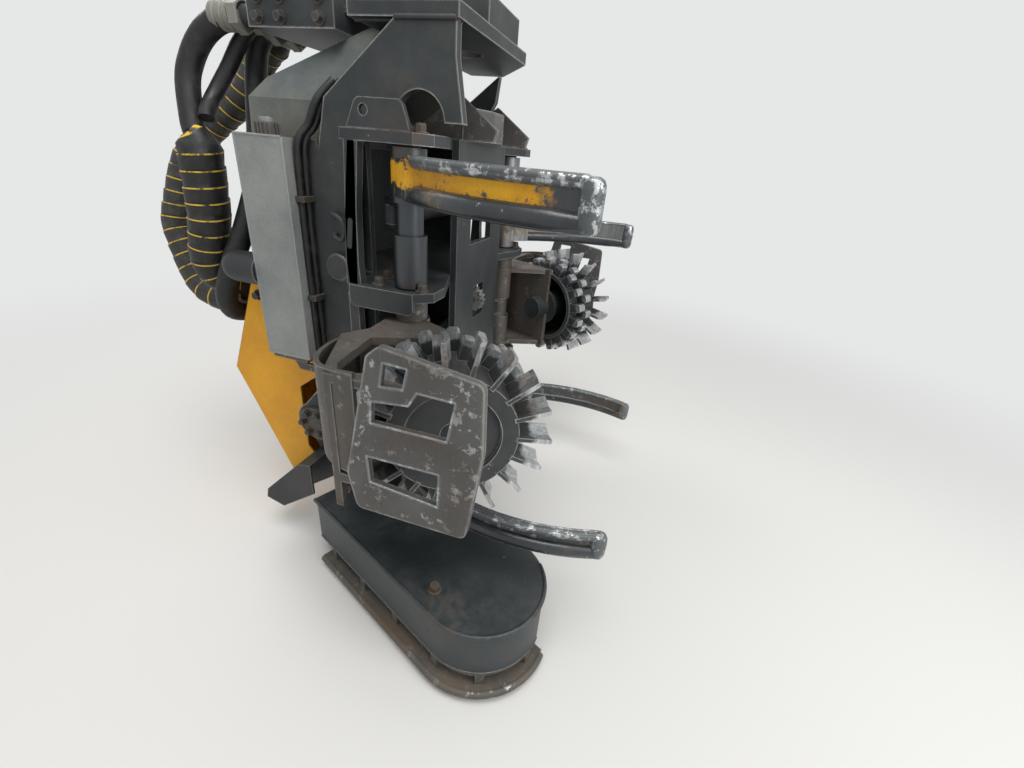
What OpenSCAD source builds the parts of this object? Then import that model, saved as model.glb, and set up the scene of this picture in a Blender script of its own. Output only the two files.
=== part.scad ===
// Harvester head, hanging upright from its tilt frame, knives and feed rollers open.
// Frame: +Z up along the stem, +X to the knife tips, -Y the near side.
// The origin is the middle of the mount face on top of the tilt frame.
// Head pieces are drawn round the stem's centreline at the rollers' height, see stem_frame().

/* [Placing] */
// Distance from the mount's middle to the stem's centreline
stem_x = 240; // [220:1:260]
// Drop from the mount face to the middle of the feed rollers
roller_drop = 920; // [905:1:960]

/* [Tilt frame] */
// Half of the free gap between the two fork plates
fork_inner = 330; // [326:1:345]
// Thickness of a fork plate
fork_t = 25; // [18:1:28]
// Thickness of the deck plate under the mount block
deck_t = 30; // [20:1:36]
// Height of the mount block over the deck plate
mount_h = 75; // [60:1:90]
// Length and width of the mount block
mount_block = 240; // [220:2:280]
// Circle of the mount's bolts
mount_pcd = 180; // [160:2:190]
// Radius of a mount bolt hole
mount_hole_r = 9; // [7:0.5:10]
// Number of mount bolts
mount_bolts = 12; // [8:1:14]
// Thickness of the bent hose cover
cover_t = 8; // [5:1:12]

/* [Tilt hinge and cylinder] */
// Radius of a hinge pin
hinge_pin_r = 34; // [28:1:38]
// Radius of the hinge bosses
hinge_boss_r = 70; // [60:1:75]
// Lever from the hinge to the tilt cylinder's rod eye
tilt_lever = 120; // [110:1:125]
// Outer radius of the tilt cylinder's barrel
tilt_barrel_r = 45; // [38:1:48]
// Radius of the tilt cylinder's rod
tilt_rod_r = 25; // [20:1:28]

/* [Head frame] */
// Half of the width inside the head's side plates
head_inner = 285; // [275:1:288]
// Thickness of the head's side plates
side_t = 20; // [14:1:24]
// Thickness of the decks that carry the arm pins
shelf_t = 25; // [18:1:28]
// Thickness of the front and rear plates
skin_t = 15; // [10:1:18]
// Radius of an arm pin
arm_pin_r = 28; // [24:1:31]
// Running clearance on the radius of pins and shafts
run_gap = 0.05; // [0.02:0.01:0.1]

/* [Arms and knives] */
// Radius of the bosses on the arm pins
boss_r = 42; // [38:1:44]
// Lever from an arm pin to its cylinder eye
arm_lever = 84; // [80:1:86]
// Height of an upper knife blade
upper_blade_h = 90; // [70:1:94]
// Height of a lower knife blade
lower_blade_h = 76; // [60:1:80]
// Thickness of a knife blade
blade_t = 26; // [18:1:32]

/* [Cross cylinders] */
// Outer radius of the barrels that join two arms
cross_barrel_r = 28; // [24:1:30]
// Radius of their rods
cross_rod_r = 15; // [12:1:17]
// Radius of the pins through their eyes
eye_pin_r = 13; // [10:1:15]

/* [Feed rollers] */
// Radius of the roller drum
drum_r = 150; // [135:1:160]
// Width of the drum
drum_w = 180; // [160:1:190]
// Radius over the long front blades
blade_tip_r = 228; // [210:1:232]
// Radius over the square teeth
tooth_tip_r = 200; // [185:1:210]
// Number of teeth round the drum
tooth_count = 18; // [12:1:20]

/* [Saw] */
// Distance from the bar's pivot to the middle of its nose
bar_length = 690; // [640:2:700]
// Half width of the saw box
saw_half = 180; // [166:1:190]
// Height of the saw box's side wall
saw_wall_h = 150; // [130:1:160]
// Thickness of the saw box's plates
saw_t = 10; // [8:1:14]

/* [Hoses] */
// Radius of a bare pressure hose
hose_r = 30; // [26:1:32]
// Radius of the bundle over its wrap
bundle_r = 58; // [54:1:60]
// Radius of the looped hose over its wrap
loop_r = 46; // [40:1:50]
// Radius of the thin hose
thin_r = 20; // [16:1:24]

/* [Hidden] */
$fn = 48;
// Gap between a piece and its seat
seat = 0.3;

// Tilt hinge, round the stem's centreline: back and up
hinge_x = -585;
hinge_z = -280;
fork_outer = fork_inner + fork_t;
deck_z = roller_drop - mount_h - deck_t;
port_z = deck_z + 20;
rear_box_x = -690;
rear_box_front_x = -600;
rear_box_z = 400;
rear_box_h = 110;
// Upper eye of the tilt cylinder, under the rear box
tilt_eye = [hinge_x - 55, hinge_z + 640];
tilt_eye_r = 42;
tilt_eye_w = 60;
tilt_pin_r = 22;
// The rod eye at rest lies at 45 degrees below the hinge, towards the back
rod_eye = [hinge_x - tilt_lever * cos(45), hinge_z - tilt_lever * sin(45)];
tilt_run = [rod_eye[0] - tilt_eye[0], rod_eye[1] - tilt_eye[1]];
tilt_length = norm(tilt_run);
tilt_lean = atan2(-tilt_run[0], -tilt_run[1]);
tilt_barrel_length = 500;

// Head frame
head_outer = head_inner + side_t;
rear_x = -540;
side_front_x = -365;
stem_face_x = -160;
front_half = 190;
pin_x = -205;
pin_y = 375;
wing_rear_x = -362;
wing_front_x = -130;
wing_y = 430;
// Tops of the four shelves that carry the arm pins
shelf_top = [600, 245, -180, -480];

// Arms: range of the closing swing, and the height of each cross cylinder
upper_swing = 66;
roller_swing = 70;
lower_swing = 52;
upper_level = 415;
roller_level = 0;
lower_level = -251;
clevis_gap = 50;
clevis_t = 14;
eye_r = 24;
eye_w = clevis_gap - 2;
shelf_gap = 5;

// Feed roller: its middle in the open pose, and its axis seen from above
roller_mid = [0, -555];
roller_turn = -64;
guard_turn = 26;

// Saw: pivot, angle at which the bar is parked, heights
saw_pivot = [-440, -315];
saw_park = -24;
saw_top_z = -505;
bar_z = -566;
bar_t = 7;
saw_ring_drop = 68;
saw_ring_h = 20;
saw_end = bar_length - 90;
saw_shaft_r = 20;

steel_black = [0.13, 0.14, 0.15];
steel_worn = [0.42, 0.41, 0.39];
steel_bare = [0.60, 0.60, 0.59];
yellow = [0.93, 0.68, 0.06];
grey_tank = [0.45, 0.47, 0.48];
rubber = [0.07, 0.07, 0.07];

module stem_frame() {
    translate([stem_x, 0, -roller_drop]) children();
}

module far_side() {
    mirror([0, 1, 0]) children();
}

// A plate in the XZ plane: outline points are [x, z], it runs from y to y + t
module upright_plate(y, t) {
    translate([0, y + t, 0]) rotate([90, 0, 0]) linear_extrude(height = t) children();
}

// A pillar on the Z axis from z0 to z1
module pillar(r, z0, z1) {
    translate([0, 0, z0]) cylinder(r = r, h = z1 - z0);
}

// A bar along Y from y0 to y1
module crossbar(r, y0, y1) {
    translate([0, y0, 0]) rotate([-90, 0, 0]) cylinder(r = r, h = y1 - y0);
}

module at_hinge() {
    translate([hinge_x, 0, hinge_z]) children();
}

module at_near_pin() {
    translate([pin_x, -pin_y, 0]) children();
}

// Tilt frame

module mount_block() {
    color(steel_black) difference() {
        translate([-mount_block / 2, -mount_block / 2, deck_z + deck_t - roller_drop])
            cube([mount_block, mount_block, roller_drop - deck_z - deck_t]);
        translate([0, 0, -200]) cylinder(r = 55, h = 300);
        for (i = [0 : mount_bolts - 1])
            rotate([0, 0, i * 360 / mount_bolts])
                translate([mount_pcd / 2, 0, -200]) cylinder(r = mount_hole_r, h = 300, $fn = 24);
    }
}

arch = [-188, 625, 62];
fork_back = [[-245, deck_z], [-440, 662], [-495, 450], [-515, 160], [-500, 20], [-515, -100]];
fork_front = [[-440, -130], [-390, 20], [-385, 265], [-375, 450], [-370, 607]];

// The near plate reaches forward over the arch, the far plate stops behind it
near_front = [[arch[0] - arch[2], arch[1]], [arch[0] + arch[2], arch[1]], [-80, arch[1]], [-100, 750],
    [-100, deck_z]];
far_front = [[-310, 640], [-255, 735]];

module fork_outline(front) {
    difference() {
        union() {
            polygon(concat(fork_back, [[hinge_x - hinge_boss_r * cos(20), hinge_z + hinge_boss_r * sin(20)],
                [hinge_x + hinge_boss_r * cos(60), hinge_z - hinge_boss_r * sin(60)]], fork_front, front));
            translate([hinge_x, hinge_z]) circle(r = hinge_boss_r);
            // Gusset that carries the rear box
            polygon([[-470, 570], [rear_box_x, 570], [rear_box_x, rear_box_z - 40],
                [-480, rear_box_z - 150]]);
        }
        translate([arch[0], arch[1]]) circle(r = arch[2]);
        translate([hinge_x, hinge_z]) circle(r = hinge_pin_r + run_gap);
    }
}

module fork_near() {
    color(steel_black) stem_frame() upright_plate(-fork_outer, fork_t) fork_outline(near_front);
}

module fork_far() {
    color(steel_black) stem_frame() upright_plate(fork_inner, fork_t) fork_outline(far_front);
}

module fork_deck() {
    color(steel_black) stem_frame() {
        difference() {
            translate([0, 0, deck_z]) linear_extrude(height = deck_t)
                polygon([[-360, -fork_outer], [-95, -fork_outer], [-95, 130], [-240, fork_outer],
                    [-360, fork_outer]]);
            translate([-stem_x, 0, deck_z - 1]) cylinder(r = 55, h = deck_t + 2);
        }
    }
}

// Box beam behind the head that ties the fork plates and carries the tilt cylinder
module fork_rear_box() {
    lug_t = 22;
    color(steel_black) stem_frame() {
        difference() {
            translate([rear_box_x, -fork_inner, rear_box_z])
                cube([rear_box_front_x - rear_box_x, 2 * fork_inner, rear_box_h]);
            translate([rear_box_x + 12, -fork_inner - 1, rear_box_z + 12])
                cube([rear_box_front_x - rear_box_x - 24, 2 * fork_inner + 2, rear_box_h - 24]);
        }
        for (y = [-tilt_eye_w / 2 - 1 - lug_t, tilt_eye_w / 2 + 1])
            difference() {
                union() {
                    upright_plate(y, lug_t) translate(tilt_eye) circle(r = tilt_eye_r);
                    upright_plate(y, lug_t) translate([tilt_eye[0] - tilt_eye_r, tilt_eye[1]])
                        square([2 * tilt_eye_r, rear_box_z - tilt_eye[1] + 6]);
                }
                translate([tilt_eye[0], 0, tilt_eye[1]]) crossbar(tilt_pin_r - 1, -200, 200);
            }
        translate([tilt_eye[0], 0, tilt_eye[1]])
            crossbar(tilt_pin_r, -tilt_eye_w / 2 - lug_t - 8, tilt_eye_w / 2 + lug_t + 8);
    }
}

// Bent hood behind the deck: down and back, round a bend, then down behind the rear box
cover_x = rear_box_x - cover_t - seat;
cover_front = -380;
cover_half = fork_inner - 5;
cover_bend_z = 655;
cover_side_z = rear_box_z + rear_box_h + 10;
cover_lean = 0.6;

// Its outline seen from the side, drawn in by t
module cover_profile(t, front, low) {
    polygon([[-360 - seat, port_z - t], [-650, 700 - t], [cover_x + 8 + t, cover_bend_z],
        [cover_x + t, 560], [cover_x + t, low], [front, low], [front, port_z - t]]);
}

// Its outline seen from behind: upright sides that lean inwards above the bend
module cover_section(t) {
    top = deck_z + 45;
    lean = (top - cover_bend_z) * cover_lean;
    polygon([[-cover_half + t, 300], [-cover_half + t, cover_bend_z], [-cover_half + t + lean, top],
        [cover_half - t - lean, top], [cover_half - t, cover_bend_z], [cover_half - t, 300]]);
}

module cover_solid(t, front, low) {
    intersection() {
        upright_plate(-400, 800) cover_profile(t, front, low);
        translate([-800, 0, 0]) rotate([90, 0, 90]) linear_extrude(height = 600) cover_section(t);
    }
}

module hose_cover() {
    color(grey_tank) stem_frame() {
        difference() {
            cover_solid(0, -360 - seat, cover_side_z);
            cover_solid(cover_t, -300, cover_side_z - 50);
            // The sides stop short of the head's wings
            translate([cover_front, -400, 400]) cube([200, 800, cover_bend_z - 400]);
        }
        // Back sheet down behind the rear box
        translate([cover_x, -cover_half, rear_box_z - 30])
            cube([cover_t, 2 * cover_half, cover_side_z + 31 - rear_box_z]);
        // Strips that seat the hood on the deck's back edge
        for (y = [-200, 180])
            upright_plate(y, 20) polygon([[-360, deck_z + 2], [-360, deck_z + deck_t - 2],
                [-400, deck_z - 2], [-400, deck_z - 12]]);
    }
}

module hinge_pins() {
    color(steel_worn) stem_frame() at_hinge() for (s = [-1, 1])
        scale([1, s, 1]) {
            crossbar(hinge_pin_r, head_inner - 10, fork_outer + 4);
            translate([0, fork_outer + seat, 0]) crossbar(hinge_boss_r - 14, 0, 12);
        }
}

tank_box = [[-665, -420, -15], [-520, -fork_outer - seat, 570]];

module tank() {
    size = tank_box[1] - tank_box[0];
    color(grey_tank) stem_frame() {
        translate(tank_box[0]) cube(size);
        translate([tank_box[0][0] + 80, tank_box[0][1] + 32, tank_box[1][2] - 1]) cylinder(r = 17, h = 40);
    }
}

module tank_bracket() {
    color(steel_worn) stem_frame() {
        difference() {
            upright_plate(-fork_outer - 10 - seat, 10)
                polygon([[-650, tank_box[0][2] - seat], [-450, tank_box[0][2] - seat], [-450, -50],
                    [-500, -85], [-610, -85]]);
            translate([-590, 0, -50]) crossbar(11, -fork_outer - 20, 0);
            translate([-560, 0, -50]) crossbar(11, -fork_outer - 20, 0);
            translate([-590, -fork_outer - 20, -61]) cube([30, 30, 22]);
        }
        translate([tank_box[0][0] + 12, tank_box[0][1] + 4, tank_box[0][2] - 12 - seat])
            cube([120, -tank_box[0][1] - fork_outer - 10, 12]);
    }
}

// Places of the manifold's ports across it
ports = [-252, -195, -135, -60];
port_face_x = rear_box_x;
port_r = 24;

module manifold() {
    block_t = 80;
    plate_t = 12;
    color(steel_black) stem_frame() {
        translate([port_face_x, -290, deck_z - 10]) cube([250, 270, block_t]);
        for (y = ports)
            translate([port_face_x + 1, y, port_z]) rotate([0, -90, 0]) cylinder(r = port_r, h = 41);
        // Plate that carries it on the deck
        translate([port_face_x + 248, -250, deck_z + deck_t + seat]) cube([142, 120, plate_t]);
    }
}

// Cushion for the oil's knocks, on the tank's back face
module accumulator() {
    ball_r = 45;
    body = 88;
    color(steel_black) stem_frame() translate([tank_box[0][0] - seat, -388, 225]) rotate([0, -90, 0]) {
        cylinder(r = ball_r, h = body);
        translate([0, 0, body]) sphere(r = ball_r);
    }
}

module at_tilt_eye() {
    translate([tilt_eye[0], 0, tilt_eye[1]]) rotate([0, tilt_lean, 0]) children();
}

module tilt_barrel() {
    color(steel_black) stem_frame() at_tilt_eye() difference() {
        union() {
            crossbar(tilt_eye_r - 4, -tilt_eye_w / 2, tilt_eye_w / 2);
            translate([0, 0, -tilt_barrel_length]) cylinder(r = tilt_barrel_r, h = tilt_barrel_length - 55);
            translate([0, 0, -60]) cylinder(r = 30, h = 40);
            translate([0, 0, -tilt_barrel_length]) cylinder(r = tilt_barrel_r + 5, h = 30);
        }
        crossbar(tilt_pin_r + run_gap, -200, 200);
        translate([0, 0, -tilt_barrel_length - 1])
            cylinder(r = tilt_rod_r + run_gap, h = tilt_barrel_length - 110);
    }
}

module tilt_rod() {
    color(steel_bare) stem_frame() at_tilt_eye() {
        translate([0, 0, -tilt_length + 28])
            cylinder(r = tilt_rod_r, h = tilt_length - 28 - 330);
        // Rod eye and its pin, between the lugs
        translate([0, 0, -tilt_length]) crossbar(34, -22, 22);
        translate([0, 0, -tilt_length]) crossbar(tilt_pin_r, -48, 48);
    }
}

// Head frame

side_outline = [[side_front_x, 590], [-470, 590], [rear_x, 500], [rear_x, -120], [-600, -200],
    [hinge_x - 66, hinge_z], [-640, -400], [-560, -500], [side_front_x, -500]];

shelf_outline = [[rear_x + 1, -head_inner - 1], [side_front_x - 1, -head_inner - 1],
    [side_front_x - 1, -head_outer],
    [wing_rear_x, -head_outer], [wing_rear_x, -wing_y + 15], [wing_rear_x + 12, -wing_y], [-165, -wing_y],
    [wing_front_x, -wing_y + 35], [wing_front_x, -330], [stem_face_x - 20, -front_half],
    [stem_face_x - 20, 0], [rear_x + 1, 0]];

// Slanted posts at the wings' rear outer corners: shelves below and above, x at bottom and top
posts = [[1, 0, -345, -326], [2, 1, -345, -345], [3, 2, -345, -345]];

module half_frame() {
    upright_plate(-head_outer, side_t) difference() {
        union() {
            polygon(side_outline);
            translate([hinge_x, hinge_z]) circle(r = hinge_boss_r - 4);
        }
        translate([hinge_x, hinge_z]) circle(r = hinge_pin_r + run_gap);
        // Lightening windows
        translate([-470, 380]) circle(r = 45);
        translate([-460, 60]) circle(r = 50);
    }
    for (z = shelf_top)
        translate([0, 0, z - shelf_t]) linear_extrude(height = shelf_t) difference() {
            polygon(shelf_outline);
            translate([pin_x, -pin_y]) circle(r = arm_pin_r + run_gap);
        }
    for (p = posts)
        upright_plate(-wing_y, 24) polygon([[p[2] - 16, shelf_top[p[0]] - 1],
            [p[2] + 16, shelf_top[p[0]] - 1],
            [p[3] + 14, shelf_top[p[1]] - shelf_t + 1], [p[3] - 14, shelf_top[p[1]] - shelf_t + 1]]);
}

module head_frame() {
    rear_z0 = shelf_top[3] - shelf_t;
    color(steel_black) stem_frame() {
        half_frame();
        far_side() half_frame();
        translate([rear_x, -head_inner - 1, rear_z0])
            cube([skin_t, 2 * head_inner + 2, shelf_top[0] - 40 - rear_z0]);
        difference() {
            translate([stem_face_x - 20, -front_half, rear_z0])
                cube([20, 2 * front_half, shelf_top[0] - rear_z0]);
            // Window for the measuring wheel
            translate([stem_face_x - 30, -45, 70]) cube([40, 90, 110]);
            translate([stem_face_x - 30, -70, -420]) cube([40, 140, 180]);
            translate([stem_face_x - 30, -90, 320]) cube([40, 180, 190]);
        }
        // Lugs for the measuring arm, under the second shelf
        for (y = [-38, 30])
            difference() {
                upright_plate(y, 8) union() {
                    translate(measure_pivot) circle(r = 18);
                    translate(measure_pivot - [18, 0])
                        square([36, shelf_top[1] - shelf_t - measure_pivot[1] + 1]);
                }
                translate([measure_pivot[0], 0, measure_pivot[1]]) crossbar(measure_pin_r + run_gap, -60, 60);
            }
    }
}

module near_pin_set() {
    at_near_pin() {
        pillar(arm_pin_r, shelf_top[3] - shelf_t + 1, shelf_top[0] + 4);
        pillar(arm_pin_r + 8, shelf_top[0] + 0.3, shelf_top[0] + 14);
    }
}

module near_pins() {
    color(steel_worn) stem_frame() near_pin_set();
}

module far_pins() {
    color(steel_worn) stem_frame() far_side() near_pin_set();
}

// Fixed knife: a shallow V that stands on the top shelf, with a pointed horn on each side
module fixed_knife() {
    base = shelf_top[0];
    color(steel_worn) stem_frame() {
        difference() {
            translate([0, 0, base + seat]) linear_extrude(height = 78)
                polygon([[-178, -150], [-166, -158], [-120, -40], [-120, 40], [-166, 158], [-178, 150],
                    [-142, 40], [-142, -40]]);
            translate([-100, -200, base + 30]) rotate([0, -26, 0]) cube([80, 400, 120]);
        }
        for (y = [-156, 142])
            upright_plate(y, 14) polygon([[-178, base + 105], [-70, base + 28], [-78, base + seat],
                [-300, base + seat], [-300, base + 22]]);
    }
}

// Yellow covers over the hoses at the back, one each side of the tilt cylinder
cover_outline = [[rear_x - seat, 60], [-640, 130], [-795, 155], [-925, -160], [-878, -262],
    [-712, -632], [-612, -524], [-590, -390], [-640, -310], [-640, -230], [rear_x - seat, -110]];
cover_inner_y = 85;
cover_outer_y = 322;

module half_cover() {
    w = cover_outer_y - cover_inner_y;
    difference() {
        upright_plate(-cover_outer_y, w) polygon(cover_outline);
        upright_plate(-cover_outer_y + 6, w - 12) polygon([[-500, 54], [-500, 400], [-790, 400], [-788, 150],
            [-916, -159], [-870, -259], [-709, -618], [-620, -520], [-598, -385], [-648, -310], [-648, -225],
            [-500, -80]]);
        // The side wall leaves the side plate and the hinge free
        translate([0, -head_outer - 1, 0]) upright_plate(-400, 400 + side_t + 1 + seat)
            polygon([[-500, 200], [-541, 200], [-541, -90], [-662, -180], [-662, -420], [-570, -540],
                [-500, -540]]);
    }
}

module near_cover() {
    color(yellow) stem_frame() half_cover();
}

module far_cover() {
    color(yellow) stem_frame() far_side() half_cover();
}

// Bulkheads on the rear plate where the hoses go in, and the ports' places across them
entry_y = [-190, -125, 150];
entry_blocks = [[-235, 140], [110, 80]];

module hose_entry() {
    color(steel_black) stem_frame() {
        for (b = entry_blocks)
            translate([rear_x - 60, b[0], 60]) cube([60, b[1], 60]);
        for (y = entry_y)
            translate([rear_x - 30, y, 119]) cylinder(r = port_r, h = 30);
    }
}

module tilt_lug() {
    lug_t = 20;
    color(steel_black) stem_frame() for (s = [-1, 1])
        scale([1, s, 1]) {
            upright_plate(50, lug_t) translate(rod_eye) circle(r = 38);
            upright_plate(50, lug_t) polygon([[rear_x, -260], [rear_x, -480],
                [rod_eye[0] - 10, rod_eye[1] - 36], [rod_eye[0] - 22, rod_eye[1] + 30]]);
            translate([rod_eye[0], 50 + lug_t - 1, rod_eye[1]]) crossbar(tilt_pin_r, 0, 9);
        }
}

// Saw

module along_bar() {
    translate([saw_pivot[0], saw_pivot[1], 0]) rotate([0, 0, saw_park]) children();
}

module stadium(r) {
    circle(r = r, $fn = 96);
    translate([0, -r]) square([saw_end, 2 * r]);
    translate([saw_end, 0]) circle(r = r, $fn = 96);
}

module saw_box() {
    color(steel_black) stem_frame() {
        translate([0, 0, saw_top_z - saw_t]) linear_extrude(height = saw_t) {
            along_bar_flat() intersection() {
                stadium(saw_half);
                translate([-20, -300]) square([900, 600]);
            }
            translate([rear_x, -head_inner]) square([-rear_x - 180, 2 * head_inner]);
        }
        // Outer wall, round the nose, open towards the stem
        translate([0, 0, saw_top_z - saw_wall_h]) linear_extrude(height = saw_wall_h - saw_t + 1)
            along_bar_flat() difference() {
                stadium(saw_half);
                stadium(saw_half - saw_t);
                translate([-300, -60]) square([saw_end + 300, 400]);
                translate([-300, -300]) square([300, 600]);
                translate([saw_end, 60]) square([400, 300]);
            }
    }
}

module along_bar_flat() {
    translate(saw_pivot) rotate([0, 0, saw_park]) children();
}

// Guard ring under the wall, on short posts: place along the bar, and the way each post faces
guard_posts = [[80, -90], [250, -90], [420, -90], [saw_end, -90], [saw_end, -45], [saw_end, 5]];

module saw_guard() {
    top = saw_top_z - saw_wall_h;
    color(steel_worn) stem_frame() {
        translate([0, 0, top - saw_ring_drop]) linear_extrude(height = saw_ring_h)
            along_bar_flat() difference() {
                stadium(saw_half + 20);
                stadium(saw_half - 22);
                translate([-300, -60]) square([saw_end + 300, 400]);
                translate([-300, -400]) square([340, 700]);
                translate([saw_end, 70]) square([400, 300]);
            }
        along_bar() for (p = guard_posts)
            translate([p[0], 0, top - saw_ring_drop + saw_ring_h - 1]) rotate([0, 0, p[1]])
                translate([saw_half - 18, -12, 0]) cube([17, 24, saw_ring_drop - saw_ring_h + 1]);
    }
}

module saw_motor() {
    color(steel_black) stem_frame() translate([saw_pivot[0], saw_pivot[1], 0]) {
        pillar(saw_shaft_r, bar_z - 30, saw_top_z - saw_t);
        pillar(58, bar_z - 75, bar_z - 12);
        pillar(40, bar_z - 90, bar_z - 74);
    }
}

// Hood at the lower back corner
module back_hood() {
    color(steel_black) stem_frame() {
        difference() {
            union() {
                upright_plate(-440, 440 - cover_outer_y - seat) polygon([[-560, -400], [-610, -410],
                    [-760, -560], [-770, -600], [-700, -620], [-560, -520]]);
                // Foot on the side plate
                upright_plate(-cover_outer_y - 1, cover_outer_y + 1 - head_outer - seat)
                    polygon([[-600, -412], [-562, -412], [-562, -480], [-600, -480]]);
                translate([-600, -374, -600]) cylinder(r = 44, h = 120);
            }
            upright_plate(-432, 102) polygon([[-500, -408], [-612, -420], [-752, -566], [-758, -640],
                [-500, -640]]);
        }
    }
}

module saw_bar() {
    color(steel_bare) stem_frame() along_bar() translate([0, 0, bar_z]) linear_extrude(height = bar_t)
        difference() {
            union() {
                circle(r = 52);
                polygon([[0, -52], [bar_length, -36], [bar_length, 36], [0, 52]]);
                translate([bar_length, 0]) circle(r = 36);
                // Chain teeth as a row of low ramps on both edges
                for (i = [0 : 26]) {
                    translate([70 + i * 22, 50 - i * 0.55])
                        polygon([[0, -6], [14, -6], [14, 5], [8, 11], [0, 9]]);
                    translate([70 + i * 22, i * 0.55 - 50])
                        polygon([[0, 6], [0, -9], [8, -11], [14, -5], [14, 6]]);
                }
            }
            circle(r = saw_shaft_r + run_gap);
        }
}

// Arms: bosses on the pins, clevises for the cross cylinders

module lever_end(level, swing) {
    turn = 180 - swing / 2;
    for (z = [level - clevis_gap / 2 - clevis_t, level + clevis_gap / 2])
        rotate([0, 0, turn]) translate([0, 0, z]) linear_extrude(height = clevis_t) difference() {
            union() {
                polygon([[0, -34], [arm_lever, -eye_r], [arm_lever, eye_r], [0, 34]]);
                translate([arm_lever, 0]) circle(r = eye_r);
            }
            circle(r = arm_pin_r + 2);
        }
    rotate([0, 0, turn]) translate([arm_lever, 0, 0])
        pillar(eye_pin_r, level - clevis_gap / 2 - clevis_t - 3, level + clevis_gap / 2 + clevis_t + 3);
}

module boss(z0, z1) {
    difference() {
        pillar(boss_r, z0, z1);
        pillar(arm_pin_r + run_gap, z0 - 1, z1 + 1);
    }
}

// A blade is a channel swept along an arc from a start to a tip, seen from above
function arc_radius(a, b, s) = (pow(norm(b - a) / 2, 2) + s * s) / (2 * s);
function arc_mid(a, b, s) = (a + b) / 2 + (arc_radius(a, b, s) - s) * [-(b - a)[1], (b - a)[0]] / norm(b - a);

module swept_blade(a, b, s, z0, h) {
    r = arc_radius(a, b, s);
    c = arc_mid(a, b, s);
    from = atan2(a[1] - c[1], a[0] - c[0]);
    to = atan2(b[1] - c[1], b[0] - c[0]);
    translate([c[0], c[1], z0]) rotate([0, 0, from]) rotate_extrude(angle = to - from, $fn = 96)
        translate([r, 0]) polygon([[0, 0], [blade_t, 0], [blade_t, 10], [blade_t * 0.5, 22],
            [blade_t * 0.5, h - 20], [blade_t, h - 8], [blade_t, h], [0, h]]);
    translate([b[0], b[1], z0]) rotate([0, 0, to]) translate([blade_t / 2, 0, 1])
        cylinder(r = blade_t / 2 + 1.5, h = h - 2);
}

blade_root = [pin_x + 30, -pin_y - 30];
upper_tip = [262, -590];
lower_tip = [395, -468];
upper_bosses = [shelf_top[1] + shelf_gap, shelf_top[0] - shelf_t - shelf_gap];
lower_bosses = [shelf_top[3] + shelf_gap, shelf_top[2] - shelf_t - shelf_gap];

module knife(tip, sag, z_boss, z_blade, h, level, swing) {
    at_near_pin() {
        boss(z_boss[0], level - clevis_gap / 2 - clevis_t + 2);
        boss(level + clevis_gap / 2 + clevis_t - 2, z_boss[1]);
        lever_end(level, swing);
    }
    at_near_pin() difference() {
        pillar(arm_pin_r + 5, level - clevis_gap / 2 - clevis_t - 1, level + clevis_gap / 2 + clevis_t + 1);
        pillar(arm_pin_r + run_gap, -700, 700);
    }
    swept_blade(blade_root, tip, sag, z_blade, h);
    // Web from the boss into the blade
    translate([0, 0, z_blade + 4]) linear_extrude(height = h - 8) difference() {
        polygon([[pin_x - 20, -pin_y - 36], [pin_x + 36, -pin_y + 20], blade_root + [60, -6],
            blade_root + [48, -42], blade_root + [-6, -36]]);
        translate([pin_x, -pin_y]) circle(r = arm_pin_r + 4);
    }
}

module upper_knife_near() {
    color(yellow) stem_frame() knife(upper_tip, 55, upper_bosses, shelf_top[1] + 216, upper_blade_h,
        upper_level, upper_swing);
}

module upper_knife_far() {
    color(yellow) stem_frame() far_side() knife(upper_tip, 55, upper_bosses, shelf_top[1] + 24,
        upper_blade_h, upper_level, upper_swing);
}

module lower_knife_near() {
    color(steel_worn) stem_frame() knife(lower_tip, 70, lower_bosses, -376, lower_blade_h,
        lower_level, lower_swing);
}

module lower_knife_far() {
    color(steel_worn) stem_frame() far_side() knife(lower_tip, 70, lower_bosses, -470, lower_blade_h,
        lower_level, lower_swing);
}

// Roller arm, drawn with the roller's axis along X and turned open by roller_turn.
// Local frame: the roller's middle, x along its axis to the front, -y outwards.
module at_roller() {
    translate([roller_mid[0], roller_mid[1], 0]) rotate([0, 0, roller_turn]) children();
}

// The arm pin seen from the roller's middle, in the roller's own frame
pin_seen = [cos(-roller_turn) * (pin_x - roller_mid[0]) - sin(-roller_turn) * (-pin_y - roller_mid[1]),
    sin(-roller_turn) * (pin_x - roller_mid[0]) + cos(-roller_turn) * (-pin_y - roller_mid[1])];
arm_top = 165;
arm_bottom = -172;
arm_plate_t = 20;
casing_rear = -drum_w / 2 - 62;
casing_out = 262;
motor_r = 46;
roller_shaft_r = 30;
// Rear face of the web that closes the drum's front end
web_x = drum_w / 2 - 30;
guard_foot = [121, -218];

module arm_plate_outline() {
    difference() {
        union() {
            translate(pin_seen) circle(r = boss_r + 6);
            polygon([pin_seen + [-44, 18], pin_seen + [30, 40], [casing_rear + 60, 40],
                [casing_rear + 60, -190], [60, -casing_out + 22], [60, -casing_out], [-110, -casing_out],
                [casing_rear, -casing_out + 60], pin_seen + [-30, -45]]);
        }
        translate(pin_seen) circle(r = arm_pin_r + 4);
    }
}

// Points on the line where the guard's inner face lies, u along the guard from its outer end
function guard_seat(u) = guard_foot + [cos(90 - guard_turn), sin(90 - guard_turn)] * u
    - [sin(90 - guard_turn), -cos(90 - guard_turn)] * 0.2;

// Arms that reach round the roller's front edge to the guard: from the shell to length u
module guard_bracket(z, t, u) {
    translate([0, 0, z]) linear_extrude(height = t)
        polygon([[50, -casing_out + 2], guard_seat(-45), guard_seat(u), guard_seat(u) - [22, -2], [103, -175],
            [103, -casing_out + 30], [50, -casing_out + 22]]);
}

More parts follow.
